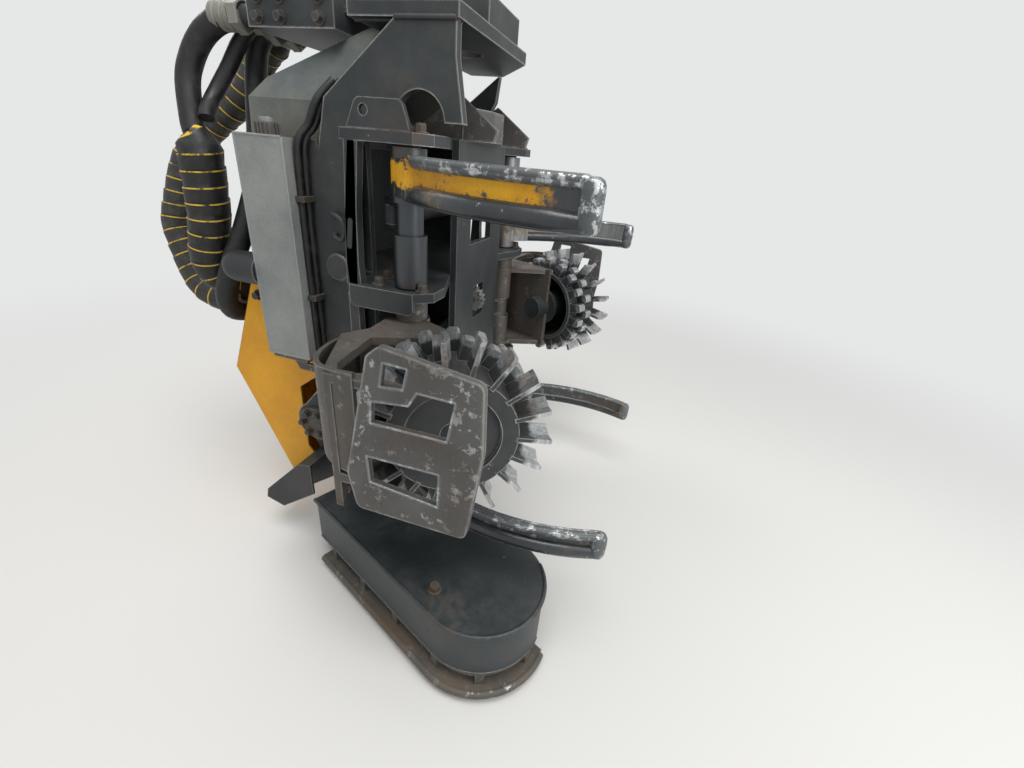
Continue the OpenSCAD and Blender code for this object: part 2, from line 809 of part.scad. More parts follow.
module roller_arm_half() {
    at_roller() {
        for (z = [arm_top - arm_plate_t, arm_bottom])
            translate([0, 0, z]) linear_extrude(height = arm_plate_t) arm_plate_outline();
        // Outer shell with its bend towards the rear
        translate([0, 0, arm_bottom + 1]) linear_extrude(height = arm_top - arm_bottom - 2)
            polygon([guard_seat(-48.6), [-110, -casing_out], [casing_rear, -casing_out + 60],
                [casing_rear, -casing_out + 84], [-102, -casing_out + 18], guard_seat(-29)]);
        guard_bracket(arm_top - arm_plate_t, arm_plate_t, 130);
        guard_bracket(-100, 24, 62);
        // Rear wall that carries the motor
        difference() {
            translate([casing_rear + 36, -casing_out + 40, arm_bottom + 1])
                cube([18, casing_out, arm_top - arm_bottom - 2]);
            rotate([0, 90, 0]) translate([0, 0, casing_rear]) cylinder(r = motor_r + seat, h = 100);
        }
    }
    at_near_pin() {
        boss(shelf_top[2] + shelf_gap, roller_level - clevis_gap / 2 - clevis_t + 2);
        boss(roller_level + clevis_gap / 2 + clevis_t - 2, shelf_top[1] - shelf_t - shelf_gap);
        lever_end(roller_level, roller_swing);
        difference() {
            pillar(arm_pin_r + 5, roller_level - clevis_gap / 2 - clevis_t - 1,
                roller_level + clevis_gap / 2 + clevis_t + 1);
            pillar(arm_pin_r + run_gap, -700, 700);
        }
    }
}

module roller_arm_near() {
    color(steel_worn) stem_frame() roller_arm_half();
}

module roller_arm_far() {
    color(steel_worn) stem_frame() far_side() roller_arm_half();
}

// Guard plate across the front outer corner: corner points, rounded by radius, with three windows
guard_corners = [[34, -124], [258, -124], [284, 75], [280, 204], [98, 234], [82, 220], [20, -52]];
guard_windows = [
    [[100, 222], [150, 220], [140, 176], [91, 172]],
    [[70, 136], [150, 145], [168, 176], [245, 174], [229, 86], [66, 86]],
    [[52, 4], [214, 6], [211, -78], [56, -62]]];
guard_t = 16;

module guard_half() {
    at_roller() translate(guard_foot) rotate([0, 0, 90 - guard_turn]) rotate([90, 0, 0])
        linear_extrude(height = guard_t) difference() {
            hull() for (p = guard_corners) translate(p) circle(r = 18, $fn = 32);
            for (w = guard_windows) polygon(w);
        }
}

module guard_near() {
    color(steel_worn) stem_frame() guard_half();
}

module guard_far() {
    color(steel_worn) stem_frame() far_side() guard_half();
}

module motor_half() {
    at_roller() rotate([0, 90, 0]) {
        translate([0, 0, casing_rear + 54 + seat]) cylinder(r = 78, h = 14);
        translate([0, 0, casing_rear + 60]) cylinder(r = 60, h = web_x - seat - casing_rear - 60);
        translate([0, 0, web_x - 1]) cylinder(r = roller_shaft_r, h = 17);
        translate([0, 0, casing_rear - 10]) cylinder(r = motor_r, h = 80);
    }
}

module motor_near() {
    color(steel_black) stem_frame() motor_half();
}

module motor_far() {
    color(steel_black) stem_frame() far_side() motor_half();
}

// Feed roller on the X axis: drum, square teeth in two rings, long folded blades at the front end
module feed_roller_body() {
    rotate([0, 90, 0]) difference() {
        translate([0, 0, -drum_w / 2]) cylinder(r = drum_r, h = drum_w, $fn = 96);
        translate([0, 0, -drum_w / 2 - 1]) cylinder(r = drum_r - 14, h = web_x + drum_w / 2 + 1);
        translate([0, 0, drum_w / 2 - 12]) cylinder(r = drum_r - 40, h = 20);
        cylinder(r = roller_shaft_r + run_gap, h = drum_w);
    }
    for (i = [0 : tooth_count - 1]) {
        turn = i * 360 / tooth_count;
        // Two rings of square teeth, the second set half a pitch on
        for (ring = [[-66, 0], [-18, 0.5]])
            rotate([turn + ring[1] * 360 / tooth_count, 0, 0])
                translate([ring[0], 0, 0]) tooth_block();
        rotate([turn + 90 / tooth_count, 0, 0]) long_blade();
    }
}

module tooth_block() {
    w = 36;
    translate([-w / 2, 0, 0]) rotate([90, 0, 90]) linear_extrude(height = w)
        polygon([[-19, drum_r - 4], [19, drum_r - 4], [15, tooth_tip_r - 5], [9, tooth_tip_r],
            [-9, tooth_tip_r], [-15, tooth_tip_r - 5]]);
}

// A blade of V section that stands out from the drum's front end
module long_blade() {
    translate([0, 0, drum_r - 6]) linear_extrude(height = blade_tip_r - drum_r + 6)
        polygon([[18, -11], [58, -3], [drum_w / 2 + 4, -12], [drum_w / 2 + 4, -1], [58, 8], [18, 0]]);
}

module feed_roller_near() {
    color(steel_bare) stem_frame() at_roller() feed_roller_body();
}

module feed_roller_far() {
    color(steel_bare) stem_frame() far_side() at_roller() feed_roller_body();
}

// Cross cylinders: the barrel's eye is on the near arm, the rod's eye on the far arm

module cross_barrel(level, swing) {
    eye = [pin_x - arm_lever * cos(swing / 2), -pin_y + arm_lever * sin(swing / 2)];
    span = 2 * (pin_y - arm_lever * sin(swing / 2));
    translate([eye[0], eye[1], level]) difference() {
        union() {
            pillar(eye_r, -eye_w / 2, eye_w / 2);
            crossbar(15, 10, 70);
            crossbar(cross_barrel_r, 60, span - 90);
            translate([0, span - 110, 0]) crossbar(cross_barrel_r + 4, 0, 22);
        }
        pillar(eye_pin_r + run_gap, -60, 60);
        translate([0, 90, 0]) crossbar(cross_rod_r + run_gap, 0, span);
    }
}

module cross_rod(level, swing) {
    eye = [pin_x - arm_lever * cos(swing / 2), pin_y - arm_lever * sin(swing / 2)];
    span = 2 * (pin_y - arm_lever * sin(swing / 2));
    translate([eye[0], eye[1], level]) difference() {
        union() {
            pillar(eye_r, -eye_w / 2, eye_w / 2);
            crossbar(cross_rod_r, -span + 260, -18);
        }
        pillar(eye_pin_r + 4, -60, 60);
    }
}

module upper_barrel() {
    color(steel_black) stem_frame() cross_barrel(upper_level, upper_swing);
}

module upper_rod() {
    color(steel_bare) stem_frame() cross_rod(upper_level, upper_swing);
}

module roller_barrel() {
    color(steel_black) stem_frame() cross_barrel(roller_level, roller_swing);
}

module roller_rod() {
    color(steel_bare) stem_frame() cross_rod(roller_level, roller_swing);
}

module lower_barrel() {
    color(steel_black) stem_frame() cross_barrel(lower_level, lower_swing);
}

module lower_rod() {
    color(steel_bare) stem_frame() cross_rod(lower_level, lower_swing);
}

// Measuring wheel on its arm, in the window of the front plate
measure_pivot = [-250, 190];
measure_wheel_mid = [-182, 125];
measure_pin_r = 10;

module measure_arm() {
    color(steel_black) stem_frame() {
        upright_plate(-22, 12) union() {
            translate(measure_pivot) circle(r = 20);
            polygon([measure_pivot + [-12, -14], measure_pivot + [14, 14], measure_wheel_mid + [12, 12],
                measure_wheel_mid + [-12, -12]]);
            translate(measure_wheel_mid) circle(r = 16);
        }
        translate([measure_pivot[0], 0, measure_pivot[1]]) crossbar(measure_pin_r, -40, 40);
        translate([measure_wheel_mid[0], 0, measure_wheel_mid[1]]) crossbar(9, -24, 22);
    }
}

module measure_wheel() {
    color(steel_bare) stem_frame() translate([measure_wheel_mid[0], 0, measure_wheel_mid[1]]) difference() {
        union() {
            crossbar(36, -9, 21);
            for (i = [0 : 15])
                rotate([0, i * 22.5, 0]) translate([34, -9, -3]) cube([8, 30, 6]);
        }
        crossbar(9 + run_gap, -30, 40);
    }
}

// Hoses: round tubes along hand-chosen points in the stem frame.
// The fourth value is the share of the wrap: 0 for the bare hose, 1 for the full wrap.
bundle_path = [
    [port_face_x - 40.2, -252, port_z, 0], [-770, -252, port_z, 0], [-826, -256, 821, 0],
    [-874, -264, 788, 0], [-908, -276, 738, 0], [-923, -290, 680, 0], [-906, -316, 578, 0],
    [-896, -320, 556, 0.75], [-890, -322, 530, 1], [-904, -322, 360, 1], [-922, -321, 280, 1],
    [-942, -316, 220, 1], [-950, -300, 172, 1], [-940, -274, 138, 1], [-914, -243, 118, 1],
    [-882, -216, 118, 0.8], [-856, -204, 130, 0], [-832, -196, 160, 0], [-808, -191, 198, 0],
    [-770, -188, 228, 0], [-722, -187, 242, 0], [-664, -188, 240, 0], [-606, -189, 214, 0],
    [-574, -190, 192, 0], [-570, -190, 170, 0], [-570, -190, 149.2, 0]];
thin_path = [
    [port_face_x - 40.2, -195, port_z, 0], [-745, -195, port_z, 0], [-772, -197, 824, 0],
    [-808, -207, 786, 0], [-840, -226, 727, 0], [-862, -252, 675, 0], [-866, -280, 638, 0],
    [-860, -304, 613, 0], [-855, -313, 597, 0]];
wrapped_path = [
    [port_face_x - 40.2, -135, port_z, 0], [-748, -135, port_z, 0], [-777, -137, 826, 0],
    [-803, -143, 798, 0], [-812, -155, 745, 0], [-802, -182, 655, 0], [-789, -215, 545, 0],
    [-787, -246, 445, 0], [-820, -294, 300, 0], [-842, -322, 228, 0], [-860, -342, 160, 0],
    [-878, -346, 98, 0], [-896, -318, 50, 0], [-908, -268, 26, 0], [-912, -226, 18, 0], [-908, -180, 24, 0],
    [-888, -146, 56, 0], [-860, -128, 112, 0], [-828, -118, 176, 0], [-776, -112, 216, 0],
    [-715, -110, 238, 0], [-592, -122, 208, 0], [-575, -125, 190, 0], [-570, -125, 170, 0],
    [-570, -125, 149.2, 0]];
loop_path = [
    [port_face_x - 40.2, -60, port_z, 0], [-755, -60, port_z, 0], [-784, -60, 832, 0.5],
    [-828, -60, 813, 1], [-876, -60, 778, 1], [-914, -60, 732, 1], [-955, -64, 682, 1],
    [-1008, -74, 636, 1], [-1070, -90, 590, 1], [-1130, -110, 535, 1], [-1180, -132, 465, 1],
    [-1228, -168, 310, 1], [-1228, -180, 230, 1], [-1172, -192, 82, 1], [-1115, -190, 36, 1],
    [-1050, -170, 18, 1], [-992, -126, 28, 1], [-946, -66, 62, 1], [-904, 6, 118, 0.7], [-862, 70, 176, 0],
    [-812, 118, 224, 0], [-750, 142, 252, 0], [-686, 150, 250, 0], [-626, 150, 226, 0], [-584, 150, 200, 0],
    [-570, 150, 172, 0], [-570, 150, 149.2, 0]];

function at(p, i) = [p[i][0], p[i][1], p[i][2]];
function ring_side(p, i) = let (a = at(p, max(i - 1, 0)), b = at(p, min(i + 1, len(p) - 1)))
    (b - a) / norm(b - a);
function cross_unit(a, b) = let (c = cross(a, b)) c / norm(c);

module tube(path, bare, wrap, sides) {
    points = [for (i = [0 : len(path) - 1])
        let (t = ring_side(path, i), u = cross_unit(t, [0.1, 1, 0.05]), v = cross(t, u),
            r = bare + (wrap - bare) * path[i][3])
        for (k = [0 : sides - 1]) at(path, i) + r * (cos(k * 360 / sides) * u + sin(k * 360 / sides) * v)];
    last = (len(path) - 1) * sides;
    polyhedron(points, concat(
        [[for (k = [sides - 1 : -1 : 0]) k]],
        [for (i = [0 : len(path) - 2], k = [0 : sides - 1])
            [i * sides + k, i * sides + (k + 1) % sides, (i + 1) * sides + (k + 1) % sides,
                (i + 1) * sides + k]],
        [[for (k = [0 : sides - 1]) last + k]]));
}

module hose_bundle() {
    color(rubber) stem_frame() tube(bundle_path, hose_r, bundle_r, 12);
}

module hose_loop() {
    color(rubber) stem_frame() tube(loop_path, hose_r, loop_r, 12);
}

module hose_thin() {
    color(rubber) stem_frame() tube(thin_path, thin_r, thin_r, 10);
}

module hose_wrapped() {
    color(rubber) stem_frame() tube(wrapped_path, hose_r, hose_r, 12);
}

mount_block();
fork_near();
fork_far();
fork_deck();
fork_rear_box();
hose_cover();
hinge_pins();
tank();
tank_bracket();
manifold();
accumulator();
tilt_barrel();
tilt_rod();
head_frame();
near_pins();
far_pins();
fixed_knife();
near_cover();
far_cover();
hose_entry();
tilt_lug();
saw_box();
saw_guard();
saw_motor();
back_hood();
saw_bar();
upper_knife_near();
upper_knife_far();
lower_knife_near();
lower_knife_far();
roller_arm_near();
roller_arm_far();
guard_near();
guard_far();
motor_near();
motor_far();
feed_roller_near();
feed_roller_far();
upper_barrel();
upper_rod();
roller_barrel();
roller_rod();
lower_barrel();
lower_rod();
measure_arm();
measure_wheel();
hose_bundle();
hose_loop();
hose_thin();
hose_wrapped();
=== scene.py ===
# %% [markdown]
# # A harvester head, dressed over its solids
# The head hangs upright with its knives and feed rollers open. The solids come in as a fixed
# frame, so this lesson is about surfaces first: worn paint, rubbed steel, rubber and wrap.
# Small things that the solids leave out, such as bolts, welds and the hoses' wrap, come after.

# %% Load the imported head
import math

import bmesh
import bpy
import numpy as np
from mathutils import Matrix, Vector
from mathutils.geometry import tessellate_polygon


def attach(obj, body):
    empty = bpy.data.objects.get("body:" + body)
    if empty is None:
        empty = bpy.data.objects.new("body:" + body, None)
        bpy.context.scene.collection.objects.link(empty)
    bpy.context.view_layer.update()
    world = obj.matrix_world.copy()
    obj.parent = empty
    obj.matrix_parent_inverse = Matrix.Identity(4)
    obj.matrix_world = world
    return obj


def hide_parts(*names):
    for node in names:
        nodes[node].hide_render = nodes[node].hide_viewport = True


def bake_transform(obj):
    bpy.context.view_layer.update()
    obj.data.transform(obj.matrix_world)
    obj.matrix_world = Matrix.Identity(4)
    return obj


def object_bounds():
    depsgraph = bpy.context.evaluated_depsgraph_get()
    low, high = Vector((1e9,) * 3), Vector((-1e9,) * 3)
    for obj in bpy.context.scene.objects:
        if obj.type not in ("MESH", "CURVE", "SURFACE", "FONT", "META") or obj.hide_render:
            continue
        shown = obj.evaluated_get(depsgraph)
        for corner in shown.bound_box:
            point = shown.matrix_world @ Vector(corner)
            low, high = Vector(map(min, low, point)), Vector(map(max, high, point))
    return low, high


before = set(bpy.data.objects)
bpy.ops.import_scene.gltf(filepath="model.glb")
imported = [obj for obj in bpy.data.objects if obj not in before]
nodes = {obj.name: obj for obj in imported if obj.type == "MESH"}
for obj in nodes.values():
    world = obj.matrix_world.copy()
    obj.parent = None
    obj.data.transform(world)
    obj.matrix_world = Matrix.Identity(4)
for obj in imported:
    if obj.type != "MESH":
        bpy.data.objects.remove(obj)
cad_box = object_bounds()
print("solids' box", cad_box)

# %% [markdown]
# ## Where things are
# The solids were drawn round the tree stem's centreline, at the rollers' height, in millimetres.
# One function takes such a point to the scene's metres, so a place can be copied as it is. The side
# that the picture shows has a negative Y and is called near.

# %% Places
MM = 1 / 1000
STEM_X, ROLLER_Z = 0.240, -0.920
NEAR, FAR = -1, 1
SIDES = ((NEAR, "near"), (FAR, "far"))


def place(x, y, z):
    return Vector((x * MM + STEM_X, y * MM, z * MM + ROLLER_Z))


# %% [markdown]
# ## The camera
# The picture was taken with a phone's wide lens, close to the head and from a little above the
# rollers. A wide lens stretches what is near the picture's edges, so the focal length matters as
# much as the place. The three axes below came from lines in the picture that are parallel in the
# real head.

# %% Camera
right = Vector((0.94957304, 0.30272421, 0.08166457))
down = Vector((0.20605563, -0.40618692, -0.89025461))
forward = Vector((-0.23633055, 0.86218921, -0.44808217))
eye = place(377.15, -1415.9, 569.3)
photo_width, focal_pixels, sensor_mm = 1024, 450, 36
camera_data = bpy.data.cameras.new("photo_camera")
camera_data.lens = focal_pixels / photo_width * sensor_mm
camera_data.sensor_width = sensor_mm
camera_data.clip_start = 0.05
camera = bpy.data.objects.new("photo_camera", camera_data)
bpy.context.scene.collection.objects.link(camera)
turn = Matrix((right, -down, -forward)).transposed()
camera.matrix_world = Matrix.Translation(eye) @ turn.to_4x4()
bpy.context.scene.camera = camera
print("lens", round(camera_data.lens, 2), "mm at", [round(v, 3) for v in camera.location])

# %% [markdown]
# ## Small helpers
# Colours are written as a screen shows them, and `light_of` turns them to the light that the
# renderer adds up. `add` makes a node, sets it and links it in one line, and the rest are the few
# nodes that every material here uses. A Mix node has sockets of the same name for each kind of
# value, so they go by number.

# %% Helpers
MIX_NUMBERS, MIX_COLOURS = (2, 3), (6, 7)


def light_of(hex_colour):
    steps = [int(hex_colour[i:i + 2], 16) / 255 for i in (1, 3, 5)]
    return (*[s / 12.92 if s <= 0.04045 else ((s + 0.055) / 1.055) ** 2.4 for s in steps], 1.0)


def add(tree, kind, inputs=None, **settings):
    node = tree.nodes.new(kind)
    for key, value in settings.items():
        setattr(node, key, value)
    for key, value in (inputs or {}).items():
        if isinstance(value, bpy.types.NodeSocket):
            tree.links.new(value, node.inputs[key])
        else:
            node.inputs[key].default_value = value
    return node


def ramp(tree, value, low, high, to_low=0.0, to_high=1.0):
    node = add(tree, "ShaderNodeMapRange", {"Value": value, "From Min": low, "From Max": high,
                                            "To Min": to_low, "To Max": to_high},
               interpolation_type="SMOOTHSTEP")
    return node.outputs["Result"]


def maths(tree, kind, *values):
    return add(tree, "ShaderNodeMath", dict(enumerate(values)), operation=kind).outputs[0]


def capped(tree, kind, a, b):
    """One step of maths whose result stays between 0 and 1."""
    return add(tree, "ShaderNodeMath", {0: a, 1: b}, operation=kind, use_clamp=True).outputs[0]


def mixed(tree, share, a, b):
    first, second = MIX_COLOURS
    return add(tree, "ShaderNodeMix", {"Factor": share, first: a, second: b}, data_type="RGBA").outputs[2]


def noise(tree, where, scale, **settings):
    values = {"Vector": where, "Scale": scale, **{key.title(): value for key, value in settings.items()}}
    return add(tree, "ShaderNodeTexNoise", values).outputs["Fac"]


def bumps(tree, height, strength, distance):
    values = {"Height": height, "Strength": strength, "Distance": distance}
    return add(tree, "ShaderNodeBump", values).outputs["Normal"]


def between(tree, kind, a, b=(0, 0, 0), result=0):
    """Vector maths."""
    return add(tree, "ShaderNodeVectorMath", {0: a, 1: b}, operation=kind).outputs[result]


def new_material(name):
    """An empty material, its tree, and the outputs with the piece's own coordinates in metres."""
    made = bpy.data.materials.new(name)
    made.use_nodes = True
    tree = made.node_tree
    tree.nodes.clear()
    return made, tree, add(tree, "ShaderNodeTexCoord").outputs


def seen_directly(tree):
    """1 for the camera, mirrors and glass, 0 for light that only falls on other things."""
    rays = add(tree, "ShaderNodeLightPath").outputs
    direct = capped(tree, "MAXIMUM", rays["Is Camera Ray"], rays["Is Glossy Ray"])
    return capped(tree, "MAXIMUM", direct, rays["Is Transmission Ray"])


def circle_of(count):
    """Cosine and sine of evenly spaced angles."""
    return [(math.cos(a), math.sin(a)) for a in np.arange(count) / count * math.tau]


def put_in_scene(name, data):
    thing = bpy.data.objects.new(name, data)
    bpy.context.scene.collection.objects.link(thing)
    return thing


# %% [markdown]
# ## Round things along a route
# A hose, a pipe, a weld bead and a rolled edge are all a circle carried along a line. The circle
# must not spin as it goes, or its faces would twist, so each ring's side direction is the last
# ring's, turned only as far as the line bends. The same function gives a lathe's work when the
# line is straight and the radius changes.

# %% Rings along a route


def smooth_route(rows, step=12.0):
    """A curve through every row, with values beside the place carried along too."""
    rows = np.array(rows, dtype=float)
    ends = np.vstack([2 * rows[0] - rows[1], rows, 2 * rows[-1] - rows[-2]])
    made = []
    for i in range(1, len(ends) - 2):
        a, b, c, d = ends[i - 1:i + 3]
        count = max(2, int(np.linalg.norm((c - b)[:3]) / step))
        for t in np.arange(count) / count:
            made.append(0.5 * (2 * b + (c - a) * t + (2 * a - 5 * b + 4 * c - d) * t ** 2
                               + (3 * b - a - 3 * c + d) * t ** 3))
    return np.array(made + [rows[-1]])


def across(route):
    along = np.gradient(route[:, :3], axis=0)
    along /= np.linalg.norm(along, axis=1)[:, None]
    hint = np.array((0.1, 1.0, 0.05)) if abs(along[0][1]) < 0.8 else np.array((0.1, 0.05, 1.0))
    side = np.cross(along[0], hint)
    sides = []
    for way in along:
        side = side - way * side.dot(way)
        side /= np.linalg.norm(side)
        sides.append(side)
    sides = np.array(sides)
    return sides, np.cross(along, sides)


def rings(route, radii, around=20, spin=0.0):
    """A closed round body: one ring of points for each place on the route."""
    route = np.array(route, dtype=float)
    sides, ups = across(route)
    turns = np.arange(around) / around * math.tau + spin
    spread = np.cos(turns)[None, :, None] * sides[:, None] + np.sin(turns)[None, :, None] * ups[:, None]
    radii = np.broadcast_to(np.array(radii, dtype=float), (len(route),))
    points = (route[:, None, :3] + spread * radii[:, None, None]).reshape(-1, 3)
    faces = [(i * around + k, i * around + (k + 1) % around, (i + 1) * around + (k + 1) % around,
              (i + 1) * around + k) for i in range(len(route) - 1) for k in range(around)]
    last = (len(route) - 1) * around
    faces += [tuple(range(around - 1, -1, -1)), tuple(range(last, last + around))]
    return points, faces


def made_piece(name, parts, finish, body=None, sharp=35):
    """One object from several bodies in the stem's millimetres; edges over sharp degrees stay sharp."""
    points, faces = [], []
    for some_points, some_faces in parts:
        first = len(points)
        points += [place(*p) for p in some_points]
        faces += [tuple(first + i for i in face) for face in some_faces]
    mesh = bpy.data.meshes.new(name)
    mesh.from_pydata(points, [], faces)
    shape = bmesh.new()
    shape.from_mesh(mesh)
    bmesh.ops.recalc_face_normals(shape, faces=shape.faces)
    shape.to_mesh(mesh)
    shape.free()
    mesh.shade_smooth()
    mesh.set_sharp_from_angle(angle=math.radians(sharp))
    mesh.materials.append(finish)
    piece = put_in_scene(name, mesh)
    if body:
        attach(piece, body)
    print(name, len(mesh.polygons), "faces")
    return piece


# %% [markdown]
# ## Rubber and wrap
# The hoses are extruded nitrile rubber over wire braid: dull black, with a faint grain along them
# and dust in it. Where they chafe they wear a wrap, a band of coated cloth wound on with a half
# lap, whose cut edge shows as a thin yellow line at each turn. The line follows the winding, so
# it reads the piece's own UV map, which counts turns.

# %% Hose finishes


def rubber_finish(name, base, dust, wound):
    made, tree, where = new_material(name)
    patches = noise(tree, where["Object"], 30.0, detail=7.0, roughness=0.65)
    grit = noise(tree, where["Object"], 500.0)
    colour = mixed(tree, ramp(tree, patches, 0.45, 0.75, 0.0, 0.55), light_of(base), light_of(dust))
    height = grit
    if wound:
        turns = add(tree, "ShaderNodeSeparateXYZ", {"Vector": where["UV"]}).outputs["Y"]
        lap = maths(tree, "FRACT", turns)
        worn = ramp(tree, patches, 0.36, 0.50)
        line = capped(tree, "MULTIPLY", ramp(tree, lap, 0.11, 0.07), worn)
        colour = mixed(tree, line, colour, light_of("#e0b934"))
        weave = add(tree, "ShaderNodeTexWave", {"Vector": where["UV"], "Scale": 14.0, "Distortion": 1.5},
                    bands_direction="Y").outputs["Fac"]
        height = maths(tree, "MULTIPLY_ADD", weave, 0.5, grit)
    bump = bumps(tree, height, 0.3, 0.001)
    shader = add(tree, "ShaderNodeBsdfPrincipled", {"Base Color": colour, "Normal": bump,
                                                    "Roughness": ramp(tree, patches, 0.3, 0.7, 0.42, 0.75)})
    add(tree, "ShaderNodeOutputMaterial", {"Surface": shader.outputs[0]})
    return made


bare_rubber = rubber_finish("nitrile_rubber_of_hoses", "#0e0f10", "#3c3b37", False)
black_wrap = rubber_finish("coated_cloth_of_wrap", "#131415", "#45443f", True)
grey_wrap = rubber_finish("dusty_cloth_of_loop_wrap", "#2c2d2c", "#66635a", True)

# %% [markdown]
# ## The hoses
# Hoses carry the oil from the block on the frame to the head. They hang in wide loops behind it,
# because the head tips by a right angle and takes their lower ends along. Each row below is a
# point of a route, and its last value says how much of the full wrap is round the hose there. The
# slices say which rows are wound.

# %% Routes
hose_r, bundle_r, thin_r, loop_r = 30, 58, 20, 46
bundle = [
    (-730.2, -252, 835, 0), (-770, -252, 835, 0), (-826, -256, 821, 0), (-874, -264, 788, 0),
    (-908, -276, 738, 0), (-923, -290, 680, 0), (-906, -316, 578, 0), (-896, -320, 556, 0.75),
    (-890, -322, 530, 1), (-904, -322, 360, 1), (-922, -321, 280, 1), (-942, -316, 220, 1),
    (-950, -300, 172, 1), (-940, -274, 138, 1), (-914, -243, 118, 1), (-882, -216, 118, 0.8),
    (-856, -204, 130, 0), (-832, -196, 160, 0), (-808, -191, 198, 0), (-770, -188, 228, 0),
    (-722, -187, 242, 0), (-664, -188, 240, 0), (-606, -189, 214, 0), (-574, -190, 192, 0),
    (-570, -190, 170, 0), (-570, -190, 149.2, 0)]
thin = [
    (-730.2, -195, 835, 0), (-745, -195, 835, 0), (-772, -197, 824, 0), (-808, -207, 786, 0),
    (-840, -226, 727, 0), (-862, -252, 675, 0), (-866, -280, 638, 0), (-860, -304, 613, 0),
    (-855, -313, 597, 0)]
wrapped = [
    (-730.2, -135, 835, 0), (-748, -135, 835, 0), (-777, -137, 826, 0), (-803, -143, 798, 0),
    (-812, -155, 745, 0), (-802, -182, 655, 0), (-789, -215, 545, 0), (-787, -246, 445, 0),
    (-820, -294, 300, 0), (-842, -322, 228, 0), (-860, -342, 160, 0), (-878, -346, 98, 0),
    (-896, -318, 50, 0), (-908, -268, 26, 0), (-912, -226, 18, 0), (-908, -180, 24, 0),
    (-888, -146, 56, 0), (-860, -128, 112, 0), (-828, -118, 176, 0), (-776, -112, 216, 0),
    (-715, -110, 238, 0), (-592, -122, 208, 0), (-575, -125, 190, 0), (-570, -125, 170, 0),
    (-570, -125, 149.2, 0)]
loop = [
    (-730.2, -60, 835, 0), (-755, -60, 835, 0), (-784, -60, 832, 0.5), (-828, -60, 813, 1),
    (-876, -60, 778, 1), (-914, -60, 732, 1), (-955, -64, 682, 1), (-1008, -74, 636, 1),
    (-1070, -90, 590, 1), (-1130, -110, 535, 1), (-1180, -132, 465, 1), (-1228, -168, 310, 1),
    (-1228, -180, 230, 1), (-1172, -192, 82, 1), (-1115, -190, 36, 1), (-1050, -170, 18, 1),
    (-992, -126, 28, 1), (-946, -66, 62, 1), (-904, 6, 118, 0.7), (-862, 70, 176, 0),
    (-812, 118, 224, 0), (-750, 142, 252, 0), (-686, 150, 250, 0), (-626, 150, 226, 0),
    (-584, 150, 200, 0), (-570, 150, 172, 0), (-570, 150, 149.2, 0)]
bundle_wound, loop_wound = slice(7, 16), slice(2, 19)
print("points in the routes:", len(bundle), len(thin), len(wrapped), len(loop))

# %% Hoses and wraps
band_pitch, band_lift, band_slack = 43, 2.6, 1.6
tied_share, tied_length = 0.55, 30


def steps_of(route):
    return np.linalg.norm(np.diff(np.array(route)[:, :3], axis=0), axis=1)


def wound_sleeve(name, rows, radius, finish, seed=3.0):
    """A band wound round the route, each turn lapping the last, drawn in where its ends are tied."""
    route = smooth_route(rows, 6.0)
    sides, ups = across(route)
    run = np.concatenate([[0], np.cumsum(steps_of(route))])
    around = 36
    laps = np.array((0.0, 0.03, 0.12, 0.35, 0.65, 0.97))
    turns = int(run[-1] / band_pitch)
    counts = (np.arange(-1, turns + 1)[:, None] + laps).ravel()
    grid, marks = [], []
    for count in counts:
        turn_number = math.floor(count + 1e-9)
        lap = count - turn_number
        for k in range(around + 1):
            angle = k / around * math.tau
            at = min(max((count + k / around) * band_pitch, 0.0), run[-1])
            spot, side, up = (np.array([np.interp(at, run, values[:, i]) for i in range(3)])
                              for values in (route, sides, ups))
            share = min(1.0, tied_share + (1 - tied_share) * min(at, run[-1] - at) / tied_length)
            loose = band_slack * math.sin(2.1 * angle + seed * turn_number) * lap
            reach = (radius - band_lift) * share + band_lift * (1 - lap) + loose
            grid.append(spot + (side * math.cos(angle) + up * math.sin(angle)) * reach)
            marks.append((angle / math.tau, count + 2.0))
    wide = around + 1
    faces = [(i * wide + k, i * wide + k + 1, (i + 1) * wide + k + 1, (i + 1) * wide + k)
             for i in range(len(counts) - 1) for k in range(around)]
    piece = made_piece(name, [(grid, faces)], finish, sharp=50)
    uv = piece.data.uv_layers.new(name="turns")
    for corner in piece.data.loops:
        uv.data[corner.index].uv = marks[corner.vertex_index]
    return piece


def hose(node, rows, radius):
    route = smooth_route(rows)
    made = made_piece(node + "_tube", [rings(route, radius, 24)], bare_rubber)
    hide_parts(node)
    return made


bundle_wrap = wound_sleeve("bundle_wrap", bundle[bundle_wound], bundle_r, black_wrap)
loop_wrap = wound_sleeve("loop_wrap", loop[loop_wound], loop_r, grey_wrap, seed=1.7)
moving = [hose("hose_bundle", bundle, hose_r),
          hose("hose_loop", loop, hose_r), hose("hose_wrapped", wrapped, hose_r)]
thin_hose = hose("hose_thin", thin, thin_r)
for piece in moving + [bundle_wrap, loop_wrap]:
    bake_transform(piece)
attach(thin_hose, "root")

# %% [markdown]
# ## Worn paint over steel
# Nearly everything here is plate steel with a coat of paint that wood, mud and grease have worked
# on. Paint goes first from the edges, which the Bevel node finds by comparing a rounded normal
# with the true one. Then come chips, long scratches, rust in what was laid bare, and dust on what
# faces up. One recipe with these in it serves every painted plate, and each gets its own amounts.

# %% Worn paint


